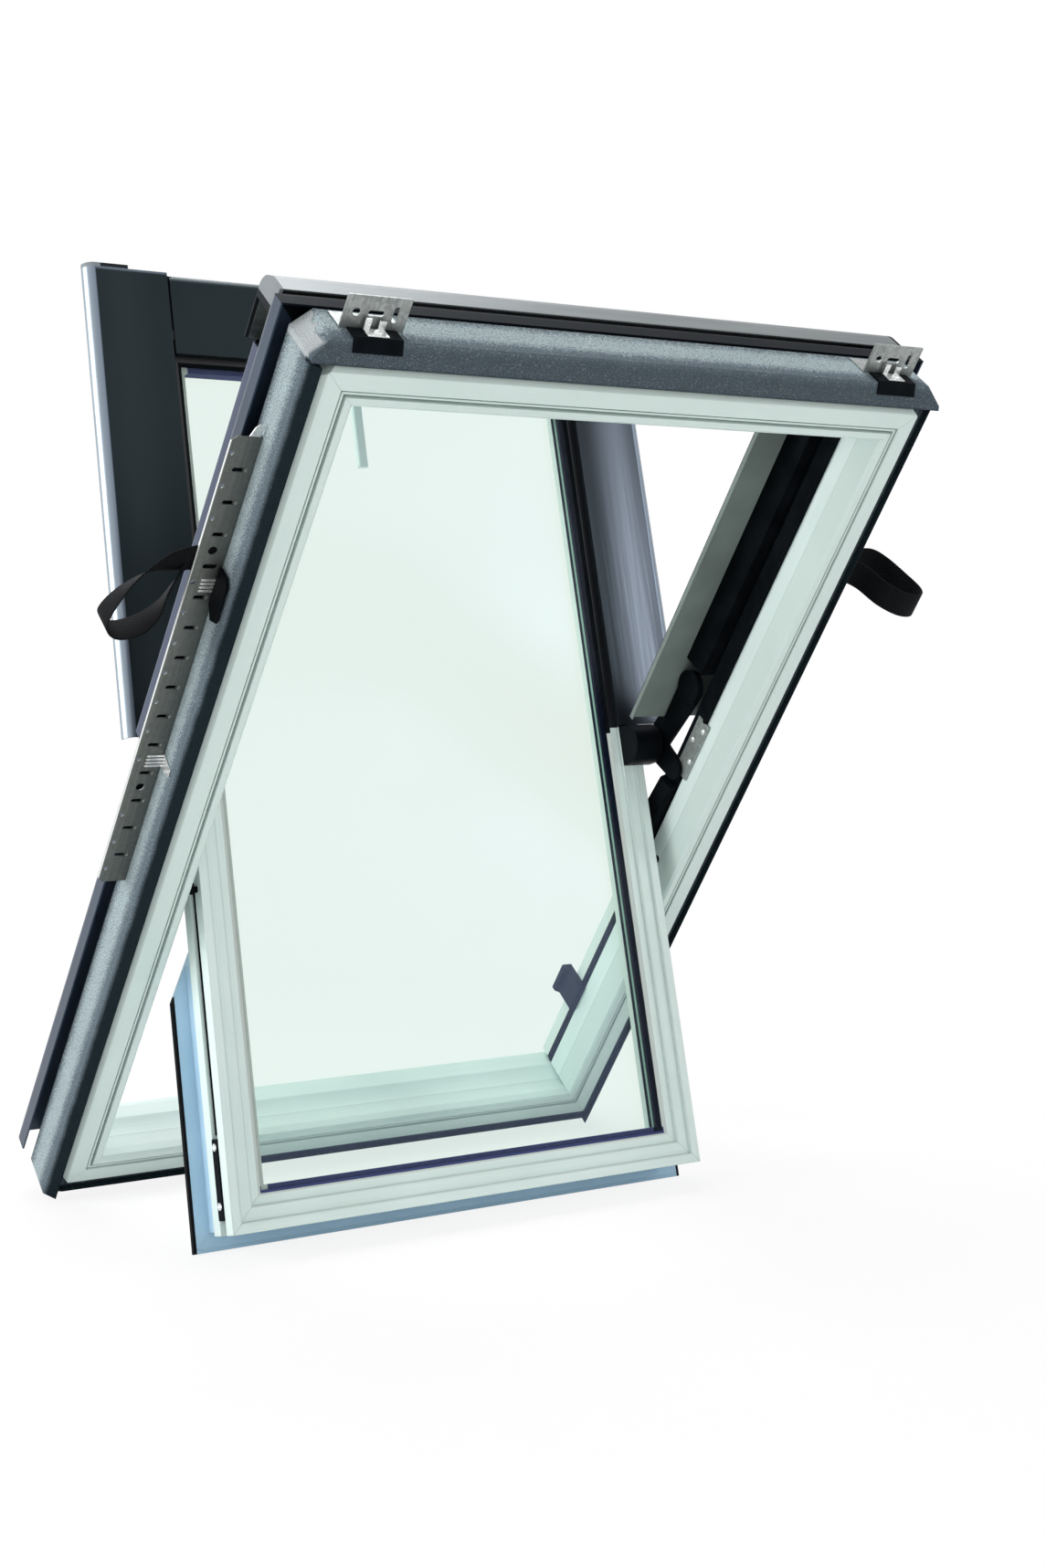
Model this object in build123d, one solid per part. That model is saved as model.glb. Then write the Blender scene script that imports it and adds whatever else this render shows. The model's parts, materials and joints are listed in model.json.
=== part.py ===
from build123d import *
import os

# Centre-pivot roof window, with its sash turned over on its pivots as for cleaning.
# The window is modelled upright and closed: X runs across it, Y is the depth from the room face of
# the frame towards the weather side, and Z runs up the slope from the pivot axis. The sash is then
# turned about its pivots, and the whole is leaned to the roof pitch about the bearing face of the
# left fixing rail, where the origin is. Sections are drawn as (inward, depth): inward is measured
# from the outer edge of the frame or the sash towards its middle.

# Fixed frame, in millimetres
FRAME_WIDTH = 780.0
FRAME_HEIGHT = 1180.0
FRAME_DEPTH = 96.0
FRAME_FACE = 43.2
FRAME_BEVEL = 5.0
FRAME_CORNER_CUT = 12.0
REVEAL_DEPTH = 62.0
SEAT_SETBACK = 34.0
FRAME_LIP_CHAMFER = 3.0
LINING_GROOVE_START = 25.0
LINING_GROOVE_WIDTH = 7.5
LINING_GROOVE_DEPTH = 11.0
LINING_BEAD_START = 27.0
LINING_BEAD_WIDTH = 2.5
LINING_BEAD_DROP = 1.5
SILL_REVEAL_DEPTH = 79.0
SILL_SETBACK = 28.0
SILL_COVE_START = 14.0
SILL_COVE_END = 60.0
SILL_COVE_DEPTH = 5.0
SEAL_DEPTH = 28.0
SEAL_LIP = 6.0
SEAL_LIP_THICKNESS = 5.0
SEAL_END_GAP = 2.0

# Pivot axis, roof pitch and the angle by which the sash stands open
PIVOT_DROP = 14.0
PIVOT_DEPTH = 130.0
OPEN_ANGLE = 129.0
ROOF_PITCH = 54.0

# Sash profiles
SASH_SIDE_GAP = 66.0
SASH_TOP_GAP = 65.5
SASH_BOTTOM_GAP = 35.0
SASH_WIDTH = 39.0
SASH_ROOM_DEPTH = 62.0
SASH_WEATHER_DEPTH = 118.0
SASH_BEVEL = 4.0
SASH_OVERLAP = 16.0
SASH_OVERLAP_DEPTH = 86.0
LEDGE_STEP = 4.2
LEDGE_OUTER_WIDTH = 12.0
LEDGE_MIDDLE_WIDTH = 16.0
GLASS_POCKET = 15.0
CHANNEL_FRONT = 84.0
CHANNEL_WIDTH = 16.0
CHANNEL_DEPTH = 8.0

# Double glazing
PANE_THICKNESS = 4.0
PANE_EDGE_PLAY = 1.5
GLASS_FRONT = 83.0
SPACER_WIDTH = 16.0
SPACER_THICKNESS = 9.0
GASKET_WIDTH = 5.0

# Aluminium cladding on the lower half of the sash
CLADDING_SHEET = 2.0
CLADDING_INNER_EDGE = 31.0
CLADDING_REACH = 76.0
CLADDING_DROP = 14.0
CLADDING_ROUND = 13.0
CLADDING_START = 29.0
CLADDING_JOINT = 3.0
END_CAP_THICKNESS = 5.0
END_CAP_WIDTH = 56.0

# Inner flange on the upper half of the sash
FLANGE_FRONT = 37.0
FLANGE_THICKNESS = 6.0
FLANGE_REACH = 13.0
FLANGE_INSET = 14.0
FLANGE_WEB = 6.0
FLANGE_WEB_INSET = 4.0
FLANGE_BEAD = 4.0
FLANGE_START = 211.0
FLANGE_TAPER = 62.0

# Pivot hinges
PIN_RADIUS = 5.0
PIN_CLEARANCE = 0.05
BARREL_RADIUS = 11.0
LUG_RADIUS = 14.0
PLATE_THICKNESS = 3.0
ARM_THICKNESS = 5.0
BARREL_GAP = 0.5
PLATE_LOW = 0.0
PLATE_HIGH = 88.0
PLATE_FRONT = 54.0
PLATE_BACK = 80.0
ARM_REACH = 60.0
ARM_FRONT = 64.0
HINGE_CAP_RADIUS = 26.0
HINGE_CAP_OVERHANG = 5.0
CAM_THICKNESS = 5.0
CAM_BOSS_RADIUS = 20.0
CAM_FOOT_RADIUS = 15.0
CAM_LOBE_RADIUS = 22.0
CAM_LOBE_HEIGHT = 110.0
CAM_LOBE_DEPTH = 112.0
CAM_LOBE_THICKNESS = 9.0
CAM_COVER_GAP = 2.0

# Covers on the weather side of the frame
COVER_SHEET = 2.0
SIDE_COVER_REACH = 32.0
SIDE_COVER_FRONT = 66.0
SIDE_COVER_ROUND = 14.0
UPPER_COVER_START = 42.0
UPPER_COVER_INNER = 105.0
UPPER_COVER_REACH = 15.0
UPPER_COVER_DEPTH = 138.0
UPPER_COVER_LIP = 7.0
UPPER_COVER_ROUND = 10.0
UPPER_COVER_FOOT = 20.0
COVER_CORE_INNER = 56.0
COVER_CORE_START = 140.0
HOOD_OVERHANG = 18.0
HOOD_REACH = 32.0
HOOD_LAP = 48.0
HOOD_DEPTH = 140.5
HOOD_ROUND = 22.0
HOOD_CAP_THICKNESS = 4.0

# Insulation blocks
FOAM_THICKNESS = 18.0
FOAM_TOP_THICKNESS = 30.0
FOAM_BACK = 64.0
FOAM_PROUD = 4.0
FOAM_GROOVE = 5.0
FOAM_GROOVE_DEPTH = 12.0
FOAM_CHAMFER = 12.0
FOAM_TAPER = 20.0

# Perforated fixing rails and head brackets
RAIL_LENGTH = 600.0
RAIL_LOW_END = -107.0
RAIL_DEPTH = 45.0
RAIL_LEG = 34.0
RAIL_WEB = 19.0
RAIL_SHEET = 2.0
RAIL_CORNER = 6.0
RAIL_PITCH = 40.0
RAIL_HOLE_COUNT = 15
RAIL_LARGE_HOLES = (3, 11)
RAIL_HOLE_RADIUS = 2.75
RAIL_LARGE_RADIUS = 5.0
RAIL_HOLE_INSET = 5.0
RAIL_SLOT_LENGTH = 16.0
RAIL_SLOT_WIDTH = 5.5
RAIL_SLOT_INSET = 19.0
RAIL_SLOT_CORNER = 1.6
BRACKET_INNER = 302.0
BRACKET_WIDTH = 72.0
BRACKET_HEIGHT = 38.0
BRACKET_DEPTH = 28.0
BRACKET_FOOT = 30.0
BRACKET_SHEET = 2.0
BRACKET_HOLE_RADIUS = 4.5
BRACKET_SLOT_LENGTH = 18.0
BRACKET_SLOT_WIDTH = 6.0
BRACKET_SLOT_CORNER = 1.8
BRACKET_HOLE_PITCH = 22.0

# Carrying straps
STRAP_THICKNESS = 3.0
STRAP_ROUND = 15.0
STRAP_GAP = 2.5
HANGING_STRAP_WIDTH = 16.0
HANGING_STRAP_TOP = 352.0
HANGING_STRAP_BOTTOM = 290.0
HANGING_STRAP_REACH = 118.0
HANGING_STRAP_FALL = 112.0
HANGING_STRAP_TIP = 40.0
OPEN_STRAP_WIDTH = 35.0
OPEN_STRAP_LOW = 324.0
OPEN_STRAP_ROOT = 13.0
OPEN_STRAP_REACH = 118.0
OPEN_STRAP_BEND = 46.0
OPEN_STRAP_FRONT = -14.0
OPEN_STRAP_BACK = 84.0
OPEN_STRAP_SLANT = 14.0

# Handle on the lower rail of the sash
HANDLE_WIDTH = 14.0
HANDLE_LENGTH = 120.0
HANDLE_THICKNESS = 9.0
HANDLE_NECK = 14.0
HANDLE_NECK_RADIUS = 7.0
HANDLE_BASE_WIDTH = 26.0
HANDLE_BASE_HEIGHT = 32.0
HANDLE_BASE_THICKNESS = 8.0
HANDLE_ROUND = 3.0

# Places that follow from the sizes above
HALF = FRAME_WIDTH / 2
TOP = FRAME_HEIGHT / 2 + PIVOT_DROP
BOTTOM = TOP - FRAME_HEIGHT
FRAME_BOX = (HALF, BOTTOM, TOP)
SASH_HALF = HALF - SASH_SIDE_GAP
SASH_TOP = TOP - SASH_TOP_GAP
SASH_BOTTOM = BOTTOM + SASH_BOTTOM_GAP
SASH_BOX = (SASH_HALF, SASH_BOTTOM, SASH_TOP)
REVEAL_HALF = HALF - FRAME_FACE
GLASS_EDGE = SASH_WIDTH - GLASS_POCKET + PANE_EDGE_PLAY
GLASS_BOX = (SASH_HALF - GLASS_EDGE, SASH_BOTTOM + GLASS_EDGE, SASH_TOP - GLASS_EDGE)
OUTER_PANE_FRONT = GLASS_FRONT + PANE_THICKNESS + SPACER_WIDTH
GLASS_BACK = OUTER_PANE_FRONT + PANE_THICKNESS
LEDGE_INNER_DEPTH = SASH_WEATHER_DEPTH - 2 * LEDGE_STEP
FOAM_FACE = HALF + FOAM_THICKNESS
RAIL_MIDDLE = RAIL_LOW_END + RAIL_LENGTH / 2
ORIGIN = (-FOAM_FACE - RAIL_LEG / 2, RAIL_DEPTH, RAIL_MIDDLE)
CUT_LENGTH = 2 * FRAME_HEIGHT

SECTION = Plane(origin=(0, 0, 0), x_dir=(0, 0, 1), z_dir=(-1, 0, 0))
SIDES = {"left": -1, "right": 1}
FRAME_NODES = {}
SASH_NODES = {}


def polygon(points):
    """Close a list of points into a face."""
    return make_face(Polyline(*points, close=True))


def rounded(points, corner, radius):
    """A face of straight edges with the corner at one of its points rounded."""
    face = polygon(points)
    nearest = face.vertices().sort_by_distance(Vector(*corner))[0]
    return fillet(nearest, radius)


def bar(section, length):
    """Extrude a section along X, centred, with its inward direction along Z and its depth along Y."""
    return Pos(length / 2, 0, 0) * extrude(SECTION * section, length)


def mitred(section, length):
    """A bar cut at 45 degrees at both ends, whose length is measured on the line inward = 0."""
    box = section.bounding_box()
    low = box.min.X
    high = box.max.X
    half = length / 2
    outline = polygon([(-half + low, low), (half - low, low), (half - high, high), (-half + high, high)])
    cutter = extrude(Plane.XZ * outline, CUT_LENGTH, both=True)
    return bar(section, length - 2 * low) & cutter


def on_edge(member, side, box):
    """Turn a bar made for a bottom edge so that it lies on the named edge of a rectangle."""
    half, low, high = box
    middle = (low + high) / 2
    places = {
        "bottom": Pos(0, 0, low),
        "top": Pos(0, 0, high) * Rot(0, 180, 0),
        "left": Pos(-half, 0, middle) * Rot(0, 90, 0),
        "right": Pos(half, 0, middle) * Rot(0, -90, 0),
    }
    return places[side] * member


def edge_length(side, box):
    """Length of the named edge of a rectangle."""
    half, low, high = box
    return 2 * half if side in ("top", "bottom") else high - low


def mitred_on(section, side, box):
    """A mitred bar on the named edge of a rectangle."""
    return on_edge(mitred(section, edge_length(side, box)), side, box)


def side_bar(section, side, box, low, high):
    """A square-ended bar on the left or right edge of a rectangle, between two heights."""
    return on_edge(bar(section, high - low), side, (box[0], low, high))


def slab(x_range, y_range, z_range):
    """A box between two limits on each axis, given in either order."""
    ranges = (x_range, y_range, z_range)
    lows = [min(pair) for pair in ranges]
    sizes = [abs(pair[1] - pair[0]) for pair in ranges]
    return Pos(*lows) * Box(*sizes, align=(Align.MIN, Align.MIN, Align.MIN))


def pivot_rod(radius, x_range):
    """A round bar on the pivot axis."""
    length = abs(x_range[1] - x_range[0])
    body = Cylinder(radius, length, align=(Align.CENTER, Align.CENTER, Align.MIN))
    return Pos(min(x_range), PIVOT_DEPTH, 0) * Rot(0, 90, 0) * body


def frame_profiles():
    """White profiles of the fixed frame, welded at mitred corners."""
    groove_end = LINING_GROOVE_START + LINING_GROOVE_WIDTH
    bead_end = LINING_BEAD_START + LINING_BEAD_WIDTH
    room_side = [
        (0, FRAME_BEVEL),
        (FRAME_BEVEL, 0),
        (LINING_GROOVE_START, 0),
        (LINING_GROOVE_START, LINING_GROOVE_DEPTH),
        (LINING_BEAD_START, LINING_GROOVE_DEPTH),
        (LINING_BEAD_START, LINING_BEAD_DROP),
        (bead_end, LINING_BEAD_DROP),
        (bead_end, LINING_GROOVE_DEPTH),
        (groove_end, LINING_GROOVE_DEPTH),
        (groove_end, 0),
        (FRAME_FACE - FRAME_LIP_CHAMFER, 0),
        (FRAME_FACE, FRAME_LIP_CHAMFER),
    ]
    seats = {"bottom": (SILL_REVEAL_DEPTH, SILL_SETBACK)}
    names = {"top": "frame_head", "bottom": "frame_sill", "left": "left_jamb", "right": "right_jamb"}
    for side, name in names.items():
        reveal, setback = seats.get(side, (REVEAL_DEPTH, SEAT_SETBACK))
        weather_side = [(FRAME_FACE, reveal), (setback, reveal), (setback, FRAME_DEPTH), (0, FRAME_DEPTH)]
        section = polygon(room_side + weather_side)
        if side == "bottom":
            section -= sill_cove()
        FRAME_NODES[name] = mitred_on(section, side, FRAME_BOX) - corner_wedges()


def sill_cove():
    """Disc that hollows the reveal of the sill, so that water runs off to the weather side."""
    half_chord = (SILL_COVE_END - SILL_COVE_START) / 2
    radius = (half_chord ** 2 + SILL_COVE_DEPTH ** 2) / (2 * SILL_COVE_DEPTH)
    middle = (SILL_COVE_START + SILL_COVE_END) / 2
    return Pos(FRAME_FACE - SILL_COVE_DEPTH + radius, middle) * Circle(radius)


def corner_wedges():
    """Wedges that blunt the four outer corners of the frame."""
    wedges = []
    for sign in SIDES.values():
        for corner, inward in ((BOTTOM, FRAME_CORNER_CUT), (TOP, -FRAME_CORNER_CUT)):
            edge = sign * HALF
            points = [(edge, corner), (edge - sign * FRAME_CORNER_CUT, corner), (edge, corner + inward)]
            wedges.append(extrude(Plane.XZ * polygon(points), CUT_LENGTH, both=True))
    return wedges


def frame_seal():
    """Black seal on the seat behind the reveal, with a lip round the head and the upper jambs."""
    back = REVEAL_DEPTH + SEAL_DEPTH
    lip_back = REVEAL_DEPTH + SEAL_LIP_THICKNESS
    section = polygon([
        (SEAT_SETBACK, REVEAL_DEPTH),
        (FRAME_FACE + SEAL_LIP, REVEAL_DEPTH),
        (FRAME_FACE + SEAL_LIP, lip_back),
        (FRAME_FACE, lip_back),
        (FRAME_FACE, back),
        (SEAT_SETBACK, back),
    ])
    ring = mitred_on(section, "top", FRAME_BOX)
    for side in SIDES:
        ring += mitred_on(section, side, FRAME_BOX)
    seal_end = BOTTOM + FRAME_FACE + SEAL_END_GAP
    above_sill = slab((-HALF, HALF), (0, FRAME_DEPTH), (seal_end, TOP))
    lip_room = slab((-REVEAL_HALF, REVEAL_HALF), (0, FRAME_DEPTH), (BOTTOM, PLATE_HIGH))
    FRAME_NODES["frame_seal"] = (ring & above_sill) - lip_room


def foam_section(thickness):
    """Section of an insulation block, with a shadow groove beside the white profile."""
    return polygon([
        (0, FOAM_BACK),
        (0, FOAM_GROOVE_DEPTH),
        (-FOAM_GROOVE, FOAM_GROOVE_DEPTH),
        (-FOAM_GROOVE, -FOAM_PROUD),
        (-thickness, FOAM_CHAMFER - FOAM_PROUD),
        (-thickness, FOAM_BACK),
    ])


def foam_blocks():
    """Insulation blocks outside the frame: the top one spans both side ones, its ends chamfered."""
    section = foam_section(FOAM_THICKNESS)
    for side in SIDES:
        block = side_bar(section, side, FRAME_BOX, BOTTOM - FOAM_THICKNESS, TOP)
        FRAME_NODES[f"{side}_foam"] = block
    FRAME_NODES["bottom_foam"] = on_edge(bar(section, FRAME_WIDTH), "bottom", FRAME_BOX)
    top_block = on_edge(bar(foam_section(FOAM_TOP_THICKNESS), 2 * FOAM_FACE), "top", FRAME_BOX)
    crest = TOP + FOAM_TOP_THICKNESS
    for sign in SIDES.values():
        end = sign * FOAM_FACE
        corner = polygon([(end - sign * FOAM_TAPER, crest), (end, crest), (end, crest - FOAM_TAPER)])
        top_block -= extrude(Plane.XZ * corner, CUT_LENGTH, both=True)
    FRAME_NODES["top_foam"] = top_block


def side_covers():
    """Rounded sheet covers outside the head, both jambs and the sill, open towards the roof."""
    def outline(inset):
        edge = inset - SIDE_COVER_REACH
        top = FRAME_DEPTH - inset
        points = [(-inset, SIDE_COVER_FRONT), (-inset, top), (edge, top), (edge, SIDE_COVER_FRONT)]
        return rounded(points, (edge, top), SIDE_COVER_ROUND - inset)

    shell = outline(0) - outline(COVER_SHEET)
    above_foot = slab((-FRAME_WIDTH, FRAME_WIDTH), (0, FRAME_DEPTH), (BOTTOM, CUT_LENGTH))
    for side in SIDES:
        FRAME_NODES[f"{side}_side_cover"] = mitred_on(shell, side, FRAME_BOX) & above_foot
    FRAME_NODES["head_cover"] = mitred_on(shell, "top", FRAME_BOX)
    FRAME_NODES["sill_cover"] = on_edge(bar(shell, FRAME_WIDTH), "bottom", FRAME_BOX)


def upper_covers():
    """Covers over the upper stiles of the sash, footed on the jambs, with a black core under each."""
    outer = -UPPER_COVER_REACH
    inner = UPPER_COVER_INNER
    under = UPPER_COVER_DEPTH - COVER_SHEET
    foot_top = FRAME_DEPTH + COVER_SHEET
    foot_end = outer + UPPER_COVER_FOOT
    web = outer + COVER_SHEET
    lip = UPPER_COVER_DEPTH - UPPER_COVER_LIP
    inner_face = inner - COVER_SHEET
    corner = (outer, UPPER_COVER_DEPTH)
    block = [(outer, FRAME_DEPTH), corner, (inner, UPPER_COVER_DEPTH), (inner, FRAME_DEPTH)]
    solid = rounded(block, corner, UPPER_COVER_ROUND)
    inside = [(web, foot_top), (web, under), (inner_face, under), (inner_face, foot_top)]
    hollow = rounded(inside, (web, under), UPPER_COVER_ROUND - COVER_SHEET)
    mouth = polygon([
        (foot_end, FRAME_DEPTH),
        (foot_end, foot_top),
        (inner_face, foot_top),
        (inner_face, lip),
        (inner, lip),
        (inner, FRAME_DEPTH),
    ])
    section = solid - hollow - mouth
    core = hollow & polygon([
        (outer, foot_top),
        (outer, under),
        (COVER_CORE_INNER, under),
        (COVER_CORE_INNER, foot_top),
    ])
    upper_end = TOP - HOOD_LAP
    for side in SIDES:
        cover = side_bar(section, side, FRAME_BOX, UPPER_COVER_START, upper_end)
        FRAME_NODES[f"{side}_upper_cover"] = cover
        FRAME_NODES[f"{side}_cover_core"] = side_bar(core, side, FRAME_BOX, COVER_CORE_START, upper_end)


def hood():
    """Aluminium hood over the head, with an end cap on each side."""
    crown = -HOOD_REACH
    solid = rounded(
        [(0, FRAME_DEPTH), (crown, FRAME_DEPTH), (crown, HOOD_DEPTH), (HOOD_LAP, HOOD_DEPTH),
         (HOOD_LAP, UPPER_COVER_DEPTH), (0, UPPER_COVER_DEPTH)],
        (crown, HOOD_DEPTH),
        HOOD_ROUND,
    )
    inner_crown = crown + COVER_SHEET
    inner_depth = HOOD_DEPTH - COVER_SHEET
    hollow = rounded(
        [(-COVER_SHEET, FRAME_DEPTH), (inner_crown, FRAME_DEPTH), (inner_crown, inner_depth),
         (-COVER_SHEET, inner_depth)],
        (inner_crown, inner_depth),
        HOOD_ROUND - COVER_SHEET,
    )
    width = FRAME_WIDTH + 2 * HOOD_OVERHANG
    FRAME_NODES["hood"] = on_edge(bar(solid - hollow, width), "top", FRAME_BOX)
    for side, sign in SIDES.items():
        cap = on_edge(bar(solid, HOOD_CAP_THICKNESS), "top", FRAME_BOX)
        FRAME_NODES[f"{side}_hood_cap"] = Pos(sign * (width + HOOD_CAP_THICKNESS) / 2, 0, 0) * cap


def fixing_rails():
    """Perforated steel angles along both sides, which lie on the roof and carry the window."""
    first = (RAIL_LENGTH - (RAIL_HOLE_COUNT - 1) * RAIL_PITCH) / 2
    holes = [RAIL_LOW_END + first + index * RAIL_PITCH for index in range(RAIL_HOLE_COUNT)]
    ends = (RAIL_LOW_END, RAIL_LOW_END + RAIL_LENGTH)
    for side, sign in SIDES.items():
        outer = sign * (FOAM_FACE + RAIL_LEG)
        leg_edge = outer - sign * RAIL_CORNER
        leg_outline = polygon([
            (sign * FOAM_FACE, ends[0]),
            (leg_edge, ends[0]),
            (outer, ends[0] + RAIL_CORNER),
            (outer, ends[1] - RAIL_CORNER),
            (leg_edge, ends[1]),
            (sign * FOAM_FACE, ends[1]),
        ])
        leg = Pos(0, RAIL_DEPTH + RAIL_SHEET, 0) * extrude(Plane.XZ * leg_outline, RAIL_SHEET)
        web_edge = sign * (FOAM_FACE + RAIL_SHEET)
        rail = leg + slab((sign * FOAM_FACE, web_edge), (RAIL_DEPTH, RAIL_DEPTH + RAIL_WEB), ends)
        for index, height in enumerate(holes):
            radius = RAIL_LARGE_RADIUS if index in RAIL_LARGE_HOLES else RAIL_HOLE_RADIUS
            inset = RAIL_LEG / 2 if index in RAIL_LARGE_HOLES else RAIL_HOLE_INSET
            place = Pos(outer - sign * inset, RAIL_DEPTH, height) * Rot(90, 0, 0)
            rail -= place * Cylinder(radius, RAIL_WEB)
            if index:
                slot = chamfer(Rectangle(RAIL_SLOT_LENGTH, RAIL_SLOT_WIDTH).vertices(), RAIL_SLOT_CORNER)
                middle = Pos(outer - sign * RAIL_SLOT_INSET, RAIL_DEPTH, height - RAIL_PITCH / 2)
                rail -= middle * extrude(Plane.XZ * slot, RAIL_WEB, both=True)
        FRAME_NODES[f"{side}_rail"] = rail


def head_brackets():
    """Steel angles on the top insulation block, each with a round hole and two slots."""
    crest = TOP + FOAM_TOP_THICKNESS
    for side, sign in SIDES.items():
        span = (sign * BRACKET_INNER, sign * (BRACKET_INNER + BRACKET_WIDTH))
        tall = slab(span, (BRACKET_DEPTH, BRACKET_DEPTH + BRACKET_SHEET), (crest, crest + BRACKET_HEIGHT))
        foot = slab(span, (BRACKET_DEPTH, BRACKET_DEPTH + BRACKET_FOOT), (crest, crest + BRACKET_SHEET))
        bracket = tall + foot
        middle = sign * (BRACKET_INNER + BRACKET_WIDTH / 2)
        height = crest + BRACKET_HEIGHT / 2
        slot = chamfer(Rectangle(BRACKET_SLOT_LENGTH, BRACKET_SLOT_WIDTH).vertices(), BRACKET_SLOT_CORNER)
        cuts = [(-1, Circle(BRACKET_HOLE_RADIUS)), (0, slot), (1, Rot(0, 0, 90) * slot)]
        for step, shape in cuts:
            place = Pos(middle + step * BRACKET_HOLE_PITCH, BRACKET_DEPTH, height)
            bracket -= place * extrude(Plane.XZ * shape, BRACKET_FOOT, both=True)
        FRAME_NODES[f"{side}_head_bracket"] = bracket


def strap_band(outline, bends):
    """A closed band of webbing along a face's outline, rounded at its bends."""
    corners = [outline.vertices().sort_by_distance(Vector(*bend))[0] for bend in bends]
    outline = fillet(corners, STRAP_ROUND)
    return outline - offset(outline, -STRAP_THICKNESS)


def carrying_straps():
    """Webbing loops that come out behind the fixing rails: the left one hangs, the right one stands open."""
    front = RAIL_DEPTH + RAIL_SHEET + STRAP_GAP
    root = FOAM_FACE + RAIL_SHEET
    tip = FOAM_FACE + HANGING_STRAP_REACH
    low = HANGING_STRAP_TOP - HANGING_STRAP_FALL
    bends = [(-tip, low + HANGING_STRAP_TIP), (-tip + HANGING_STRAP_TIP / 2, low)]
    outline = polygon([(-root, HANGING_STRAP_TOP), *bends, (-root, HANGING_STRAP_BOTTOM)])
    loop = extrude(Plane.XZ * strap_band(outline, bends), HANGING_STRAP_WIDTH)
    FRAME_NODES["left_strap"] = Pos(0, front + HANGING_STRAP_WIDTH, 0) * loop
    tip = FOAM_FACE + OPEN_STRAP_REACH
    shoulder = root + OPEN_STRAP_BEND
    bends = [
        (shoulder, front),
        (shoulder + OPEN_STRAP_SLANT, OPEN_STRAP_FRONT),
        (tip, OPEN_STRAP_FRONT),
        (tip - OPEN_STRAP_SLANT, OPEN_STRAP_BACK),
    ]
    outline = polygon([(root, front), *bends, (root, front + OPEN_STRAP_ROOT)])
    loop = extrude(strap_band(outline, bends), OPEN_STRAP_WIDTH)
    FRAME_NODES["right_strap"] = Pos(0, 0, OPEN_STRAP_LOW) * loop


def frame_hinges():
    """Galvanised plates on the jambs with a round lug at the pivot, and black bearings with a cam."""
    lobe = Pos(CAM_LOBE_DEPTH, CAM_LOBE_HEIGHT) * Circle(CAM_LOBE_RADIUS)
    boss = Pos(PIVOT_DEPTH, 0) * Circle(CAM_BOSS_RADIUS)
    foot = Pos(PLATE_BACK, 0) * Circle(CAM_FOOT_RADIUS)
    cam_outline = make_hull(lobe.edges() + boss.edges()) + make_hull(foot.edges() + boss.edges())
    under_cover = UPPER_COVER_DEPTH - COVER_SHEET - CAM_COVER_GAP
    cover_end = UPPER_COVER_START - CAM_COVER_GAP
    cam_outline -= polygon([
        (under_cover, cover_end),
        (CUT_LENGTH, cover_end),
        (CUT_LENGTH, CUT_LENGTH),
        (under_cover, CUT_LENGTH),
    ])
    for side, sign in SIDES.items():
        face = sign * REVEAL_HALF
        inner = face - sign * PLATE_THICKNESS
        stem_width = (-LUG_RADIUS, LUG_RADIUS)
        plate = slab((face, inner), (PLATE_FRONT, PLATE_BACK), (PLATE_LOW, PLATE_HIGH))
        plate += slab((face, inner), (PLATE_BACK, PIVOT_DEPTH), stem_width)
        plate += pivot_rod(LUG_RADIUS, (face, inner))
        bore = pivot_rod(PIN_RADIUS + PIN_CLEARANCE, (sign * HALF, 0))
        FRAME_NODES[f"{side}_hinge_plate"] = plate - bore
        cam = extrude(Plane.YZ * cam_outline, -sign * CAM_THICKNESS)
        cam += extrude(Plane.YZ * lobe, -sign * CAM_LOBE_THICKNESS)
        bearing = Pos(inner, 0, 0) * cam + pivot_rod(BARREL_RADIUS, (inner, sign * bearing_end()))
        FRAME_NODES[f"{side}_bearing"] = bearing - bore


def arm_face():
    """Distance from the middle to the outer face of the sash's hinge arm."""
    return SASH_HALF + ARM_THICKNESS


def bearing_end():
    """Distance from the middle to the end of the frame's bearing, half way to the arm."""
    return (REVEAL_HALF - PLATE_THICKNESS + arm_face() + BARREL_GAP) / 2


def sash_hinges():
    """Arms on the stiles of the sash, with the pivot pin, its shoulder and a barrel-shaped cap."""
    for side, sign in SIDES.items():
        face = sign * SASH_HALF
        outer = sign * arm_face()
        back = SASH_WEATHER_DEPTH
        arm = slab((face, outer), (ARM_FRONT, CHANNEL_FRONT), (-ARM_REACH, ARM_REACH))
        arm += slab((face, outer), (ARM_FRONT, PIVOT_DEPTH), (-LUG_RADIUS, LUG_RADIUS))
        arm += pivot_rod(LUG_RADIUS, (face, outer))
        arm += pivot_rod(BARREL_RADIUS, (outer, sign * (bearing_end() - BARREL_GAP)))
        arm += pivot_rod(PIN_RADIUS, (outer, sign * REVEAL_HALF))
        span = (face - sign * CLADDING_INNER_EDGE, outer + sign * HINGE_CAP_OVERHANG)
        weather_half = slab(span, (PIVOT_DEPTH, CUT_LENGTH), (-HINGE_CAP_RADIUS, HINGE_CAP_RADIUS))
        cap = slab(span, (back, PIVOT_DEPTH), (-HINGE_CAP_RADIUS, HINGE_CAP_RADIUS))
        cap += pivot_rod(HINGE_CAP_RADIUS, span) & weather_half
        SASH_NODES[f"{side}_hinge_arm"] = arm + cap


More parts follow.
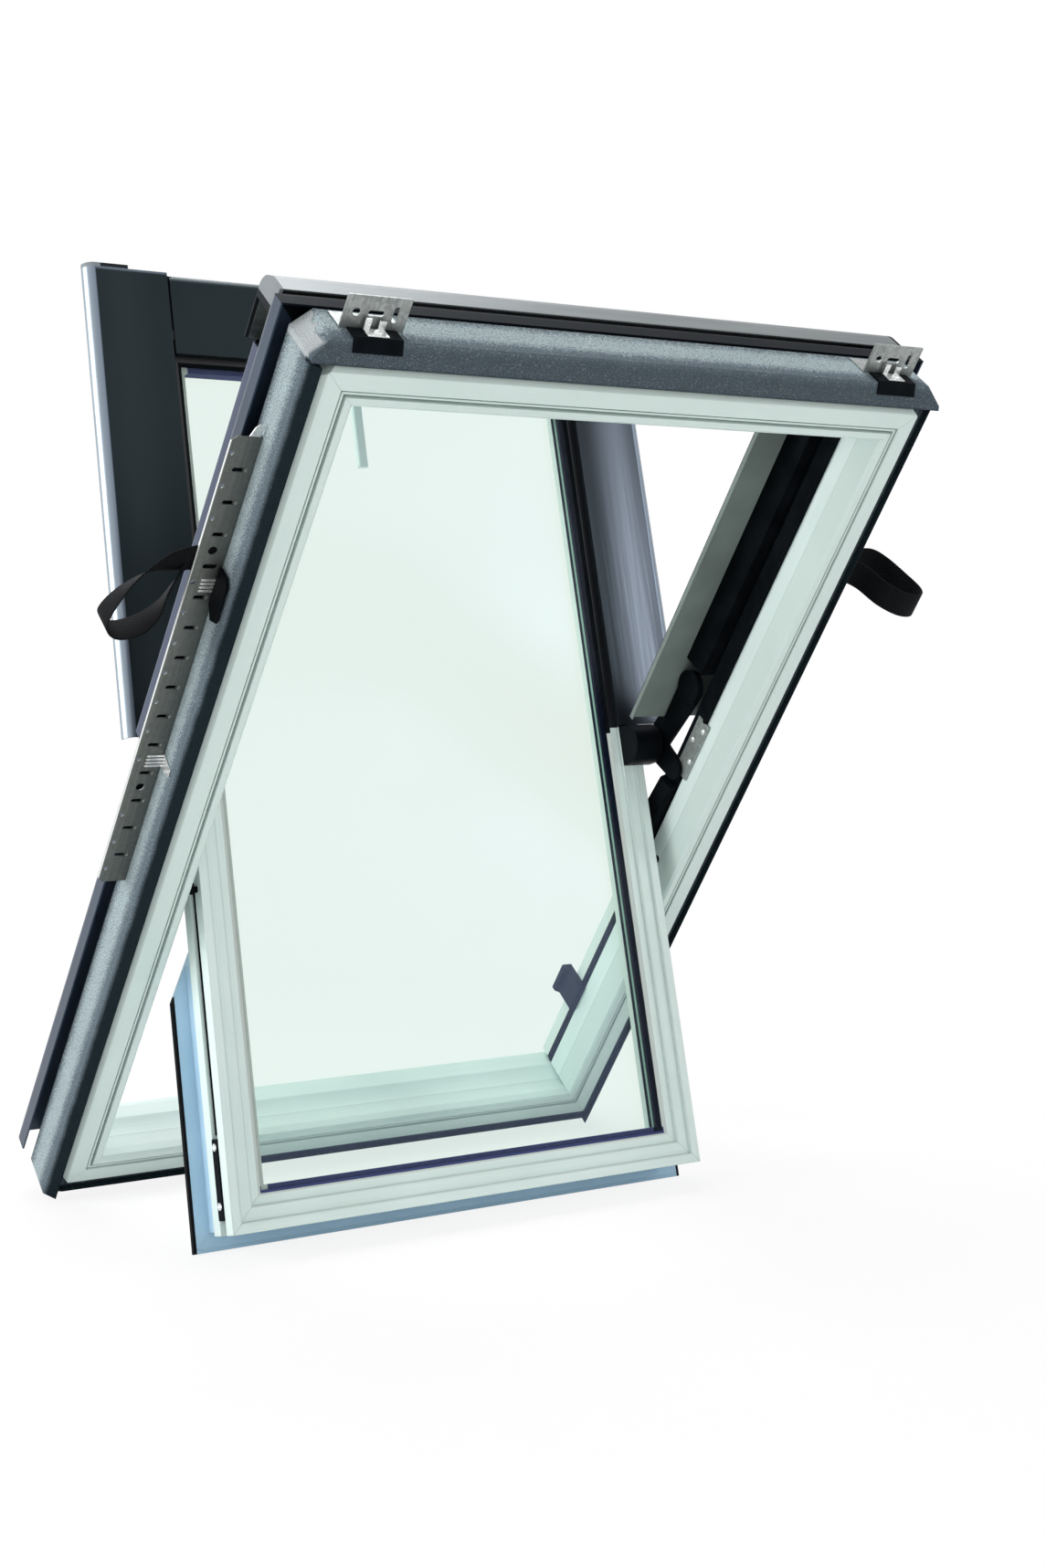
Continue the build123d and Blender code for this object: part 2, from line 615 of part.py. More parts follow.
def sash_section(rebate):
    """Section of a sash profile: glass pocket, stepped weather side, hardware channel or rebate."""
    pocket = SASH_WIDTH - GLASS_POCKET
    middle = LEDGE_OUTER_WIDTH + LEDGE_MIDDLE_WIDTH
    points = [
        (rebate + SASH_BEVEL, SASH_ROOM_DEPTH),
        (SASH_WIDTH, SASH_ROOM_DEPTH),
        (SASH_WIDTH, GLASS_FRONT),
        (pocket, GLASS_FRONT),
        (pocket, GLASS_BACK),
        (SASH_WIDTH, GLASS_BACK),
        (SASH_WIDTH, LEDGE_INNER_DEPTH),
        (middle, LEDGE_INNER_DEPTH),
        (middle, LEDGE_INNER_DEPTH + LEDGE_STEP),
        (LEDGE_OUTER_WIDTH, LEDGE_INNER_DEPTH + LEDGE_STEP),
        (LEDGE_OUTER_WIDTH, SASH_WEATHER_DEPTH),
        (0, SASH_WEATHER_DEPTH),
    ]
    if rebate:
        points += [(0, SASH_OVERLAP_DEPTH), (rebate, SASH_OVERLAP_DEPTH)]
    else:
        channel_back = CHANNEL_FRONT + CHANNEL_WIDTH
        points += [(0, channel_back), (CHANNEL_DEPTH, channel_back)]
        points += [(CHANNEL_DEPTH, CHANNEL_FRONT), (0, CHANNEL_FRONT)]
    points.append((rebate, SASH_ROOM_DEPTH + SASH_BEVEL))
    return polygon(points)


def sash_profiles():
    """White sash profiles: the lower rail overlaps the sill, and the others have a hardware channel."""
    names = {"top": "sash_top_rail", "left": "sash_left_stile", "right": "sash_right_stile"}
    for side, name in names.items():
        SASH_NODES[name] = mitred_on(sash_section(0), side, SASH_BOX)
    SASH_NODES["sash_bottom_rail"] = mitred_on(sash_section(SASH_OVERLAP), "bottom", SASH_BOX)


def glazing():
    """Two panes, the spacer between their edges, and the black gasket round the visible edge."""
    half, low, high = GLASS_BOX
    for name, front in (("inner_pane", GLASS_FRONT), ("outer_pane", OUTER_PANE_FRONT)):
        SASH_NODES[name] = slab((-half, half), (front, front + PANE_THICKNESS), (low, high))
    spacer_front = GLASS_FRONT + PANE_THICKNESS
    spacer = polygon([
        (0, spacer_front),
        (0, OUTER_PANE_FRONT),
        (GLASS_POCKET + SPACER_THICKNESS, OUTER_PANE_FRONT),
        (GLASS_POCKET + SPACER_THICKNESS, spacer_front),
    ])
    gasket = polygon([
        (SASH_WIDTH, GLASS_BACK),
        (SASH_WIDTH, LEDGE_INNER_DEPTH),
        (SASH_WIDTH + GASKET_WIDTH, GLASS_BACK),
    ])
    for name, section, box in (("glass_spacer", spacer, GLASS_BOX), ("glazing_gasket", gasket, SASH_BOX)):
        ring = mitred_on(section, "bottom", box)
        for side in ("left", "top", "right"):
            ring += mitred_on(section, side, box)
        SASH_NODES[name] = ring


def sash_cladding():
    """Aluminium covers on the lower half of the sash, rounded at the outer edge, with end caps."""
    outer = -CLADDING_REACH
    top = SASH_WEATHER_DEPTH + CLADDING_SHEET
    low = top - CLADDING_DROP
    inner = CLADDING_INNER_EDGE
    sheet = CLADDING_SHEET
    solid = rounded([(outer, low), (outer, top), (inner, top), (inner, low)], (outer, top), CLADDING_ROUND)
    hollow_points = [(outer + sheet, low), (outer + sheet, top - sheet), (inner - sheet, top - sheet)]
    hollow_points += [(inner - sheet, low)]
    corner = (outer + sheet, top - sheet)
    hollow = rounded(hollow_points, corner, CLADDING_ROUND - sheet)
    below_ledge = polygon([
        (inner - sheet, low), (inner, low), (inner, LEDGE_INNER_DEPTH), (inner - sheet, LEDGE_INNER_DEPTH)
    ])
    section = solid - hollow - below_ledge
    end = SASH_BOTTOM - CLADDING_REACH
    rail_room = slab(
        (-SASH_HALF, SASH_HALF), (low, SASH_WEATHER_DEPTH), (SASH_BOTTOM, SASH_BOTTOM + SASH_WIDTH)
    )
    for side in SIDES:
        cover = side_bar(section, side, SASH_BOX, end, -CLADDING_START)
        SASH_NODES[f"sash_{side}_cladding"] = cover - rail_room
        corner_only = polygon([
            (outer, low), (outer, top), (outer + END_CAP_WIDTH, top), (outer + END_CAP_WIDTH, low)
        ])
        cap = side_bar(solid & corner_only, side, SASH_BOX, end - END_CAP_THICKNESS, end)
        SASH_NODES[f"sash_{side}_end_cap"] = cap
    width = 2 * (SASH_HALF - CLADDING_INNER_EDGE - CLADDING_JOINT)
    SASH_NODES["sash_bottom_cladding"] = on_edge(bar(section, width), "bottom", SASH_BOX)


def inner_flange():
    """Flange round the room side of the upper half, mitred at the corners, with a black edge bead."""
    back = FLANGE_FRONT + FLANGE_THICKNESS
    web_end = FLANGE_WEB_INSET + FLANGE_WEB
    section = polygon([
        (-FLANGE_REACH, FLANGE_FRONT),
        (FLANGE_INSET, FLANGE_FRONT),
        (FLANGE_INSET, back),
        (web_end, back),
        (web_end, SASH_ROOM_DEPTH),
        (FLANGE_WEB_INSET, SASH_ROOM_DEPTH),
        (FLANGE_WEB_INSET, back),
        (-FLANGE_REACH, back),
    ])
    edge = -FLANGE_REACH - FLANGE_BEAD
    bead = polygon([
        (edge, FLANGE_FRONT),
        (-FLANGE_REACH, FLANGE_FRONT),
        (-FLANGE_REACH, back),
        (edge, back),
    ])
    outer_edge = SASH_HALF - edge
    inner_edge = SASH_HALF - FLANGE_INSET
    upper = extrude(Plane.XZ * polygon([
        (-inner_edge, FLANGE_START),
        (inner_edge, FLANGE_START),
        (outer_edge, FLANGE_START + FLANGE_TAPER),
        (outer_edge, TOP),
        (-outer_edge, TOP),
        (-outer_edge, FLANGE_START + FLANGE_TAPER),
    ]), -FRAME_DEPTH)
    names = {"left": "left_flange", "top": "top_flange", "right": "right_flange"}
    beads = None
    for side, name in names.items():
        SASH_NODES[name] = mitred_on(section, side, SASH_BOX) & upper
        piece = mitred_on(bead, side, SASH_BOX) & upper
        beads = piece if beads is None else beads + piece
    SASH_NODES["flange_bead"] = beads


def handle():
    """Lever handle on the lower rail of the sash, on the room side."""
    base_low = SASH_BOTTOM + SASH_OVERLAP + HANDLE_ROUND
    base_front = SASH_ROOM_DEPTH - HANDLE_BASE_THICKNESS
    neck_front = base_front - HANDLE_NECK
    half = HANDLE_BASE_WIDTH / 2
    base = slab((-half, half), (base_front, SASH_ROOM_DEPTH), (base_low, base_low + HANDLE_BASE_HEIGHT))
    base = fillet(base.edges().filter_by(Axis.Y), HANDLE_ROUND)
    middle = base_low + HANDLE_BASE_HEIGHT / 2
    neck = Cylinder(HANDLE_NECK_RADIUS, HANDLE_NECK, align=(Align.CENTER, Align.CENTER, Align.MIN))
    neck = Pos(0, base_front, middle) * Rot(90, 0, 0) * neck
    lever = slab(
        (-HANDLE_WIDTH / 2, HANDLE_WIDTH / 2),
        (neck_front - HANDLE_THICKNESS, neck_front),
        (base_low, base_low + HANDLE_LENGTH),
    )
    lever = fillet(lever.edges().filter_by(Axis.Z), HANDLE_ROUND)
    SASH_NODES["handle"] = base + neck + lever


def place(nodes, turn):
    """Turn the pieces about the pivot, then lean them to the roof pitch about the origin."""
    about_pivot = Pos(0, PIVOT_DEPTH, 0) * Rot(turn, 0, 0) * Pos(0, -PIVOT_DEPTH, 0)
    lean = Rot(90 - ROOF_PITCH, 0, 0) * Pos(-ORIGIN[0], -ORIGIN[1], -ORIGIN[2])
    return {name: lean * about_pivot * solid for name, solid in nodes.items()}


for build in (frame_profiles, frame_seal, foam_blocks, side_covers, upper_covers, hood, fixing_rails):
    build()
for build in (head_brackets, carrying_straps, frame_hinges):
    build()
for build in (sash_hinges, sash_profiles, glazing, sash_cladding, inner_flange, handle):
    build()

os.makedirs("parts", exist_ok=True)
for name, solid in (place(FRAME_NODES, 0) | place(SASH_NODES, OPEN_ANGLE)).items():
    export_step(solid, f"parts/{name}.step")
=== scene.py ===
"""Dress the centre-pivot roof window: finishes, small hardware, straps, stage, light and camera."""

from __future__ import annotations

import json
import logging
import math
from dataclasses import dataclass, field
from enum import Enum
from typing import Any, Iterable, Sequence

import bmesh
import bpy
from mathutils import Matrix, Vector

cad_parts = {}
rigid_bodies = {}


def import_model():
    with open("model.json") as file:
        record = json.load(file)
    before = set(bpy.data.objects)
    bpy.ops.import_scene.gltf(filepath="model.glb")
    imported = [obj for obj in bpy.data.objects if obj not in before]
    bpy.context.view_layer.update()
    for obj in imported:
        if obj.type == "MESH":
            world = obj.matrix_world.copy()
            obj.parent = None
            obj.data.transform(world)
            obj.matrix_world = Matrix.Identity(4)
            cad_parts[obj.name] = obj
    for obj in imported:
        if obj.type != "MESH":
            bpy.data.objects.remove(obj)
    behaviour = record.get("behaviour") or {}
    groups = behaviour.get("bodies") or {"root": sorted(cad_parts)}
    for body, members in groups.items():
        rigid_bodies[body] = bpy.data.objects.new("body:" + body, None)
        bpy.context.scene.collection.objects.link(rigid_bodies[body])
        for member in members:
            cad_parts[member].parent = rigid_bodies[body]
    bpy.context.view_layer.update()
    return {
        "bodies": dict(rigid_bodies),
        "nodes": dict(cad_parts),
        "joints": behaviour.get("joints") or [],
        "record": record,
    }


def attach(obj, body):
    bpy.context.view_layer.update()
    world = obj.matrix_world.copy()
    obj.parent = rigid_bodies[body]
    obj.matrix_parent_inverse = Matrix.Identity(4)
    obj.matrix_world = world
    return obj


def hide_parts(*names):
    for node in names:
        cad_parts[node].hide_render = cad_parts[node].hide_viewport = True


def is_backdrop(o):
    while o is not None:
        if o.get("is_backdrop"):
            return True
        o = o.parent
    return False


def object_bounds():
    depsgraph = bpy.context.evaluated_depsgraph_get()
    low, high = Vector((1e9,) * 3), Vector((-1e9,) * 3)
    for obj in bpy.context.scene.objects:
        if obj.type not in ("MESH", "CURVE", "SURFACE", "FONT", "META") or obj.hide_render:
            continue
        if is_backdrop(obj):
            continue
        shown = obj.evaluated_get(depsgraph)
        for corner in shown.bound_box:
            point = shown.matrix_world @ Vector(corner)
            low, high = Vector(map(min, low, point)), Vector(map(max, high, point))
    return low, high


LOG = logging.getLogger("roof_window")

MILLIMETRE = 0.001
OPEN_ANGLE = math.radians(129.0)
LEAN_ANGLE = math.radians(36.0)
PIVOT_DEPTH = 130.0
BEARING_POINT = (-425.0, 45.0, 193.0)
SIDES = {"left": -1.0, "right": 1.0}

Point = Sequence[float]
Stations = Sequence[tuple[float, float]]
Colour = tuple[float, float, float]


class Space(Enum):
    """The two groups of pieces that have window axes of their own: across, depth, up the slope."""

    FRAME = "frame"
    SASH = "sash"

    @property
    def matrix(self) -> Matrix:
        """Matrix from window millimetres to the scene's metres."""
        lean = Matrix.Rotation(LEAN_ANGLE, 4, "X") @ Matrix.Scale(MILLIMETRE, 4)
        placed = lean @ Matrix.Translation(-Vector(BEARING_POINT))
        if self is Space.FRAME:
            return placed
        pivot = Vector((0.0, PIVOT_DEPTH, 0.0))
        turn = Matrix.Rotation(OPEN_ANGLE, 4, "X")
        return placed @ Matrix.Translation(pivot) @ turn @ Matrix.Translation(-pivot)


class Axis(Enum):
    """Window axes, with the two other axes that an outline across each one uses."""

    ACROSS = (0, 1, 2)
    DEPTH = (1, 0, 2)
    SLOPE = (2, 0, 1)


class Run(Enum):
    """Direction in which a profile was drawn."""

    ACROSS = (0.02, 1.0, 1.0)
    SLOPE = (1.0, 1.0, 0.02)


class Value:
    """A shader socket that can be used in arithmetic."""

    def __init__(self, shader: "Shader", socket: bpy.types.NodeSocket) -> None:
        """Keep the socket and the shader that it belongs to."""
        self.shader = shader
        self.socket = socket

    def math(self, operation: str, *others: Any, swap: bool = False) -> "Value":
        """Add a Math node.

        Args:
            operation: the node's operation.
            others: numbers or values for its other inputs.
            swap: put this value second.

        Returns:
            The node's result.
        """
        values = [self, *others]
        if swap:
            values.reverse()
        inputs = dict(enumerate(values))
        return self.shader.add("ShaderNodeMath", {"operation": operation}, inputs)

    def __add__(self, other: Any) -> "Value":
        """Sum."""
        return self.math("ADD", other)

    __radd__ = __add__

    def __sub__(self, other: Any) -> "Value":
        """Difference."""
        return self.math("SUBTRACT", other)

    def __rsub__(self, other: Any) -> "Value":
        """Reflected difference."""
        return self.math("SUBTRACT", other, swap=True)

    def __mul__(self, other: Any) -> "Value":
        """Product."""
        return self.math("MULTIPLY", other)

    __rmul__ = __mul__

    def __truediv__(self, other: Any) -> "Value":
        """Quotient."""
        return self.math("DIVIDE", other)

    def __abs__(self) -> "Value":
        """Size without sign."""
        return self.math("ABSOLUTE")

    def top(self, other: Any) -> "Value":
        """The larger of two values."""
        return self.math("MAXIMUM", other)

    def low(self, other: Any) -> "Value":
        """The smaller of two values."""
        return self.math("MINIMUM", other)

    def ramp(self, start: float, end: float, first: float = 0.0, last: float = 1.0) -> "Value":
        """Map a range smoothly.

        Args:
            start: input at which the change begins.
            end: input at which it is over.
            first: result at the start.
            last: result at the end.

        Returns:
            The mapped value.
        """
        settings = {"interpolation_type": "SMOOTHSTEP", "clamp": True}
        inputs = {0: self, 1: start, 2: end, 3: first, 4: last}
        return self.shader.add("ShaderNodeMapRange", settings, inputs)

    def beyond(self, limit: float, blur: float) -> "Value":
        """One past a limit and nothing before it, with a soft step."""
        return self.ramp(limit - blur, limit + blur)

    def short_of(self, limit: float, blur: float) -> "Value":
        """One before a limit and nothing past it, with a soft step."""
        return self.ramp(limit - blur, limit + blur, 1.0, 0.0)

    def line(self, place: float, core: float, edge: float, strength: float = 1.0) -> "Value":
        """Thin line about a place.

        Args:
            place: middle of the line.
            core: half width of its full strength.
            edge: distance at which it has faded.
            strength: its value in the middle.

        Returns:
            The line's strength.
        """
        return abs(self - place).ramp(core, edge, strength, 0.0)


class Shader:
    """A material's node tree, with window coordinates and a principled surface."""

    def __init__(self, name: str, space: Space) -> None:
        """Start an empty material.

        Args:
            name: the material's name.
            space: the group of pieces whose axes its patterns follow.
        """
        self.material = bpy.data.materials.new(name)
        self.material.use_nodes = True
        self.tree = self.material.node_tree
        self.tree.nodes.clear()
        self.space = space
        self.output = self.tree.nodes.new("ShaderNodeOutputMaterial")
        self._place: Value | None = None

    def add(self, kind: str, settings: dict[str, Any], inputs: dict[Any, Any], result: Any = 0) -> Value:
        """Add one node.

        Args:
            kind: the node's type.
            settings: its own properties, and a colour ramp's stops under "stops".
            inputs: numbers, colours or values for its sockets, by name or index.
            result: name or index of the output to return.

        Returns:
            That output.
        """
        node = self.tree.nodes.new(kind)
        for key, setting in settings.items():
            if key == "stops":
                for element, (place, colour) in zip(node.color_ramp.elements, setting):
                    element.position = place
                    element.color = (*colour, 1.0)
            else:
                setattr(node, key, setting)
        for key, value in inputs.items():
            self.put(node.inputs[key], value)
        return Value(self, node.outputs[result])

    def put(self, socket: bpy.types.NodeSocket, value: Any) -> None:
        """Set a socket to a number or colour, or link a value to it."""
        if isinstance(value, Value):
            self.tree.links.new(value.socket, socket)
        elif isinstance(value, tuple) and len(value) == 3 and socket.type == "RGBA":
            socket.default_value = (*value, 1.0)
        else:
            socket.default_value = value

    @property
    def place(self) -> Value:
        """Window coordinates of the shaded point, in metres."""
        if self._place is None:
            inverse = self.space.matrix.inverted()
            turn = inverse.to_3x3().normalized().to_euler()
            shift = inverse.translation * MILLIMETRE
            world = self.add("ShaderNodeTexCoord", {}, {}, "Object")
            inputs = {"Vector": world, "Location": tuple(shift), "Rotation": tuple(turn)}
            self._place = self.add("ShaderNodeMapping", {}, inputs)
        return self._place

    def axis(self, axis: Axis) -> Value:
        """One window coordinate of the shaded point, in metres."""
        return self.add("ShaderNodeSeparateXYZ", {}, {0: self.place}, axis.value[0])

    def stretched(self, scale: Point) -> Value:
        """Window coordinates multiplied axis by axis."""
        inputs = {0: self.place, 1: tuple(scale)}
        return self.add("ShaderNodeVectorMath", {"operation": "MULTIPLY"}, inputs)

    def noise(self, scale: float, detail: float = 2.0, place: Value | None = None) -> Value:
        """Cloudy pattern.

        Args:
            scale: its frequency per metre.
            detail: how many finer layers it has.
            place: other coordinates to lay it on.

        Returns:
            A value about 0.5.
        """
        inputs = {"Vector": place or self.place, "Scale": scale, "Detail": detail}
        return self.add("ShaderNodeTexNoise", {}, inputs, 0)

    def cells(self, scale: float, result: str = "Distance", feature: str = "F1") -> Value:
        """Cell pattern, as its distance or its colour."""
        inputs = {"Vector": self.place, "Scale": scale}
        return self.add("ShaderNodeTexVoronoi", {"feature": feature}, inputs, result)

    def blend(self, factor: Any, first: Any, second: Any) -> Value:
        """Mix two colours."""
        inputs = {"Factor": factor, 6: first, 7: second}
        return self.add("ShaderNodeMix", {"data_type": "RGBA"}, inputs, 2)

    def relief(self, height: Value, depth: float, soft_edge: float = 0.0) -> Value:
        """Surface normal with a fine relief, and edges softened where a radius is given.

        Args:
            height: pattern of the relief.
            depth: its depth in metres.
            soft_edge: radius of the softened edges in metres.

        Returns:
            The normal.
        """
        inputs: dict[str, Any] = {"Height": height, "Distance": depth, "Strength": 1.0}
        if soft_edge:
            inputs["Normal"] = self.add("ShaderNodeBevel", {"samples": 4}, {"Radius": soft_edge})
        return self.add("ShaderNodeBump", {}, inputs)

    def surface(self, **inputs: Any) -> Value:
        """Principled surface whose sockets are named with underscores for spaces."""
        named = {key.replace("_", " "): value for key, value in inputs.items()}
        return self.add("ShaderNodeBsdfPrincipled", {}, named)

    def done(self, shader: Value) -> bpy.types.Material:
        """Link a surface to the output and return the material."""
        self.tree.links.new(shader.socket, self.output.inputs["Surface"])
        return self.material


COOL_GLOSS = (0.66, 0.86, 1.0)


@dataclass(frozen=True)
class Finish:
    """A finish that makes one material for each group of pieces."""

    name: str

    def material(self, space: Space) -> bpy.types.Material:
        """The finish's material in a group's axes, made once."""
        label = f"{self.name}_{space.value}"
        return bpy.data.materials.get(label) or self.make(Shader(label, space))

    def make(self, shader: Shader) -> bpy.types.Material:
        """Build the nodes."""
        raise NotImplementedError


@dataclass(frozen=True)
class WhiteProfile(Finish):
    """Extruded white plastic with drawing lines and welded mitres.

    Where it is asked for, the room-side half, a groove and the steps get painted shade, and the weather side
    is black.
    """

    run: Run = Run.SLOPE
    light: Colour = (0.702, 0.815, 0.785)
    shade: Colour = (0.612, 0.728, 0.697)
    # weld: colour of the real welded mitre lines, also used for the painted shade lines in the groove and at
    # the steps
    weld_and_shade: Colour = (0.36, 0.42, 0.40)
    black: Colour = (0.006, 0.007, 0.009)
    corners: tuple[tuple[float, float], ...] = ()
    steps: tuple[float, ...] = ()
    step_depth: float = 0.101
    weather_depth: float = 0.0
    weather_end: float = -0.027
    # near: colour of the painted shade on the half of the reveal towards the room
    near: Colour = (0.50, 0.60, 0.565)
    painted_shade_share: float = 0.5
    painted_shade_depth: float = 0.0
    painted_shade_blur: float = 0.002

    def make(self, shader: Shader) -> bpy.types.Material:
        """Cloudy white, drawn streaks, a fine weld line across each corner and the black side."""
        cloud = shader.noise(5.0, 3.0)
        streak = shader.noise(420.0, 2.0, shader.stretched(self.run.value))
        tone = (cloud * 0.7 + streak * 0.3).ramp(0.3, 0.72)
        colour = shader.blend(tone, self.shade, self.light)
        across = abs(shader.axis(Axis.ACROSS))
        slope = shader.axis(Axis.SLOPE)
        for half, edge in self.corners:
            lead = (half - across) - abs(slope - edge)
            weld_and_shade = abs(lead).ramp(0.0002, 0.0007, 0.3, 0.0)
            colour = shader.blend(weld_and_shade, colour, self.weld_and_shade)
        # Painted shade: the half of the reveal towards the room is darkened towards the near colour.
        if self.painted_shade_depth:
            depth = shader.axis(Axis.DEPTH)
            painted_light_band = depth.ramp(self.painted_shade_depth, self.painted_shade_depth + self.painted_shade_blur, self.painted_shade_share, 0.0)
            colour = shader.blend(painted_light_band, colour, self.near)
            # Painted shade: a thin dark line where the room-side painted shade begins, in the weld colour.
            groove = depth.line(self.painted_shade_depth, core=0.0003, edge=0.0012, strength=0.25)
            colour = shader.blend(groove, colour, self.weld_and_shade)
        if self.steps:
            (half, top), (_, bottom) = self.corners
            inset = (half - across).low(top - slope).low(slope - bottom)
            face = shader.axis(Axis.DEPTH).ramp(self.step_depth, self.step_depth + 0.001)
            # Painted shade: a thin shadow line along each step of the sash face, in the weld colour.
            for step in self.steps:
                line = inset.line(step, core=0.0004, edge=0.0026, strength=0.34) * face
                colour = shader.blend(line, colour, self.weld_and_shade)
        if self.weather_depth:
            outside = shader.axis(Axis.DEPTH).beyond(self.weather_depth, blur=0.0004)
            lower = slope.short_of(self.weather_end, blur=0.0005)
            colour = shader.blend(outside * lower, colour, self.black)
        grain = streak + shader.noise(1900.0, 1.0) * 0.25
        return shader.done(shader.surface(
            Base_Color=colour,
            Roughness=streak.ramp(0.2, 0.8, 0.30, 0.42),
            Specular_IOR_Level=0.4,
            Normal=shader.relief(grain, 0.00005, 0.0014),
        ))


@dataclass(frozen=True)
class BeadFoam(Finish):
    """Moulded bead foam with painted shade on its room-side chamfer, over a darker moulded skin, and a torn
    end at one corner.
    """

    bead: float = 360.0
    light: Colour = (0.430, 0.520, 0.545)
    shade: Colour = (0.125, 0.160, 0.188)
    # skin: near-black of the bead seams and of the painted shade on the chamfer
    skin: Colour = (0.003, 0.009, 0.012)
    torn: Colour = (0.46, 0.49, 0.50)

    def make(self, shader: Shader) -> bpy.types.Material:
        """Beads of different tone with dark seams, speckle, a painted highlight in the middle of the side,
        painted shade on the chamfer and torn patch.
        """
        seam = shader.cells(self.bead, "Distance", "DISTANCE_TO_EDGE")
        speck = shader.noise(520.0, 2.0)
        cloud = shader.noise(38.0, 4.0)
        depth = shader.axis(Axis.DEPTH)
        # Painted highlight: the side is lighter about the middle of its depth and darker towards both edges.
        wear_and_highlight = depth.ramp(0.012, 0.034) * depth.ramp(0.046, 0.064, 1.0, 0.35)
        tone = (cloud * 0.1 + speck * 0.65 + wear_and_highlight * 0.25).ramp(0.38, 0.68)
        colour = shader.blend(tone, self.shade, self.light)
        gap = seam.ramp(0.0, 0.1, 0.4, 0.0)
        colour = shader.blend(gap, colour, self.skin)
        across = shader.axis(Axis.ACROSS)
        slope = shader.axis(Axis.SLOPE)
        # Painted shade on the room-side chamfer, partly its darker moulded skin; weaker on the head foam.
        head = slope.ramp(0.606, 0.612, 1.0, 0.35)
        skin = (depth + cloud * 0.002).ramp(0.0048, 0.0100, 0.95, 0.0) * head
        colour = shader.blend(skin, colour, self.skin)
        ragged = across + shader.noise(70.0, 4.0) * 0.034
        patch = ragged.ramp(-0.377, -0.374, 1.0, 0.0) * slope.ramp(0.606, 0.608) * depth.ramp(0.004, 0.012)
        colour = shader.blend(patch * 0.85, colour, self.torn)
        height = seam.ramp(0.0, 0.2) + speck * 0.5 + patch * cloud * 6.0
        return shader.done(shader.surface(
            Base_Color=colour,
            Roughness=speck * 0.2 + 0.66,
            Specular_IOR_Level=0.05,
            Specular_Tint=COOL_GLOSS,
            Normal=shader.relief(height, 0.0006, 0.0015),
        ))


@dataclass(frozen=True)
class CoatedSheet(Finish):
    """Coated sheet with a faint orange-peel skin."""

    colour: Colour = (0.018, 0.030, 0.052)
    wear_and_highlight: Colour = (0.032, 0.046, 0.074)
    roughness: float = 0.30
    specular: float = 0.45

    def make(self, shader: Shader) -> bpy.types.Material:
        """One colour with cloudy wear and orange peel."""
        cloud = shader.noise(11.0, 4.0)
        peel = shader.noise(900.0, 1.0)
        colour = shader.blend(cloud.ramp(0.35, 0.75), self.colour, self.wear_and_highlight)
        return shader.done(shader.surface(
            Base_Color=colour,
            Roughness=cloud.ramp(0.3, 0.8, self.roughness, self.roughness + 0.12),
            Specular_IOR_Level=self.specular,
            Specular_Tint=COOL_GLOSS,
            Normal=shader.relief(peel, 0.00004, 0.0012),
        ))


@dataclass(frozen=True)
class CoverSheet(Finish):
    """Sheet coated dark outside and pale grey-green towards the room, with a painted bluish reflection on its
    side wall.
    """

    outside: Colour = (0.016, 0.019, 0.026)
    # wall: colour of the painted reflection on the side wall
    wall: Colour = (0.038, 0.054, 0.096)
    inside: Colour = (0.165, 0.205, 0.188)
    skin_depth: float = 0.137
    wall_face: float = 0.4035

    def make(self, shader: Shader) -> bpy.types.Material:
        """Two coats and a painted reflection on the side wall, parted inside the sheet, with a fine grain."""
        cloud = shader.noise(16.0, 4.0)
        grain = shader.noise(1400.0, 1.0)
        outer = shader.axis(Axis.DEPTH).beyond(self.skin_depth, blur=0.0003)
        side = abs(shader.axis(Axis.ACROSS)).beyond(self.wall_face, blur=0.0003)
        pale = shader.blend(cloud.ramp(0.3, 0.7, 0.0, 0.22), self.inside, self.outside)
        # Painted reflection: the side wall is lighter and bluer than the dark outside coat.
        colour = shader.blend(side, shader.blend(outer, pale, self.outside), self.wall)
        return shader.done(shader.surface(
            Base_Color=colour,
            Roughness=grain.ramp(0.2, 0.8, 0.34, 0.46),
            Specular_IOR_Level=0.3,
            Normal=shader.relief(grain, 0.00004, 0.0008),
        ))


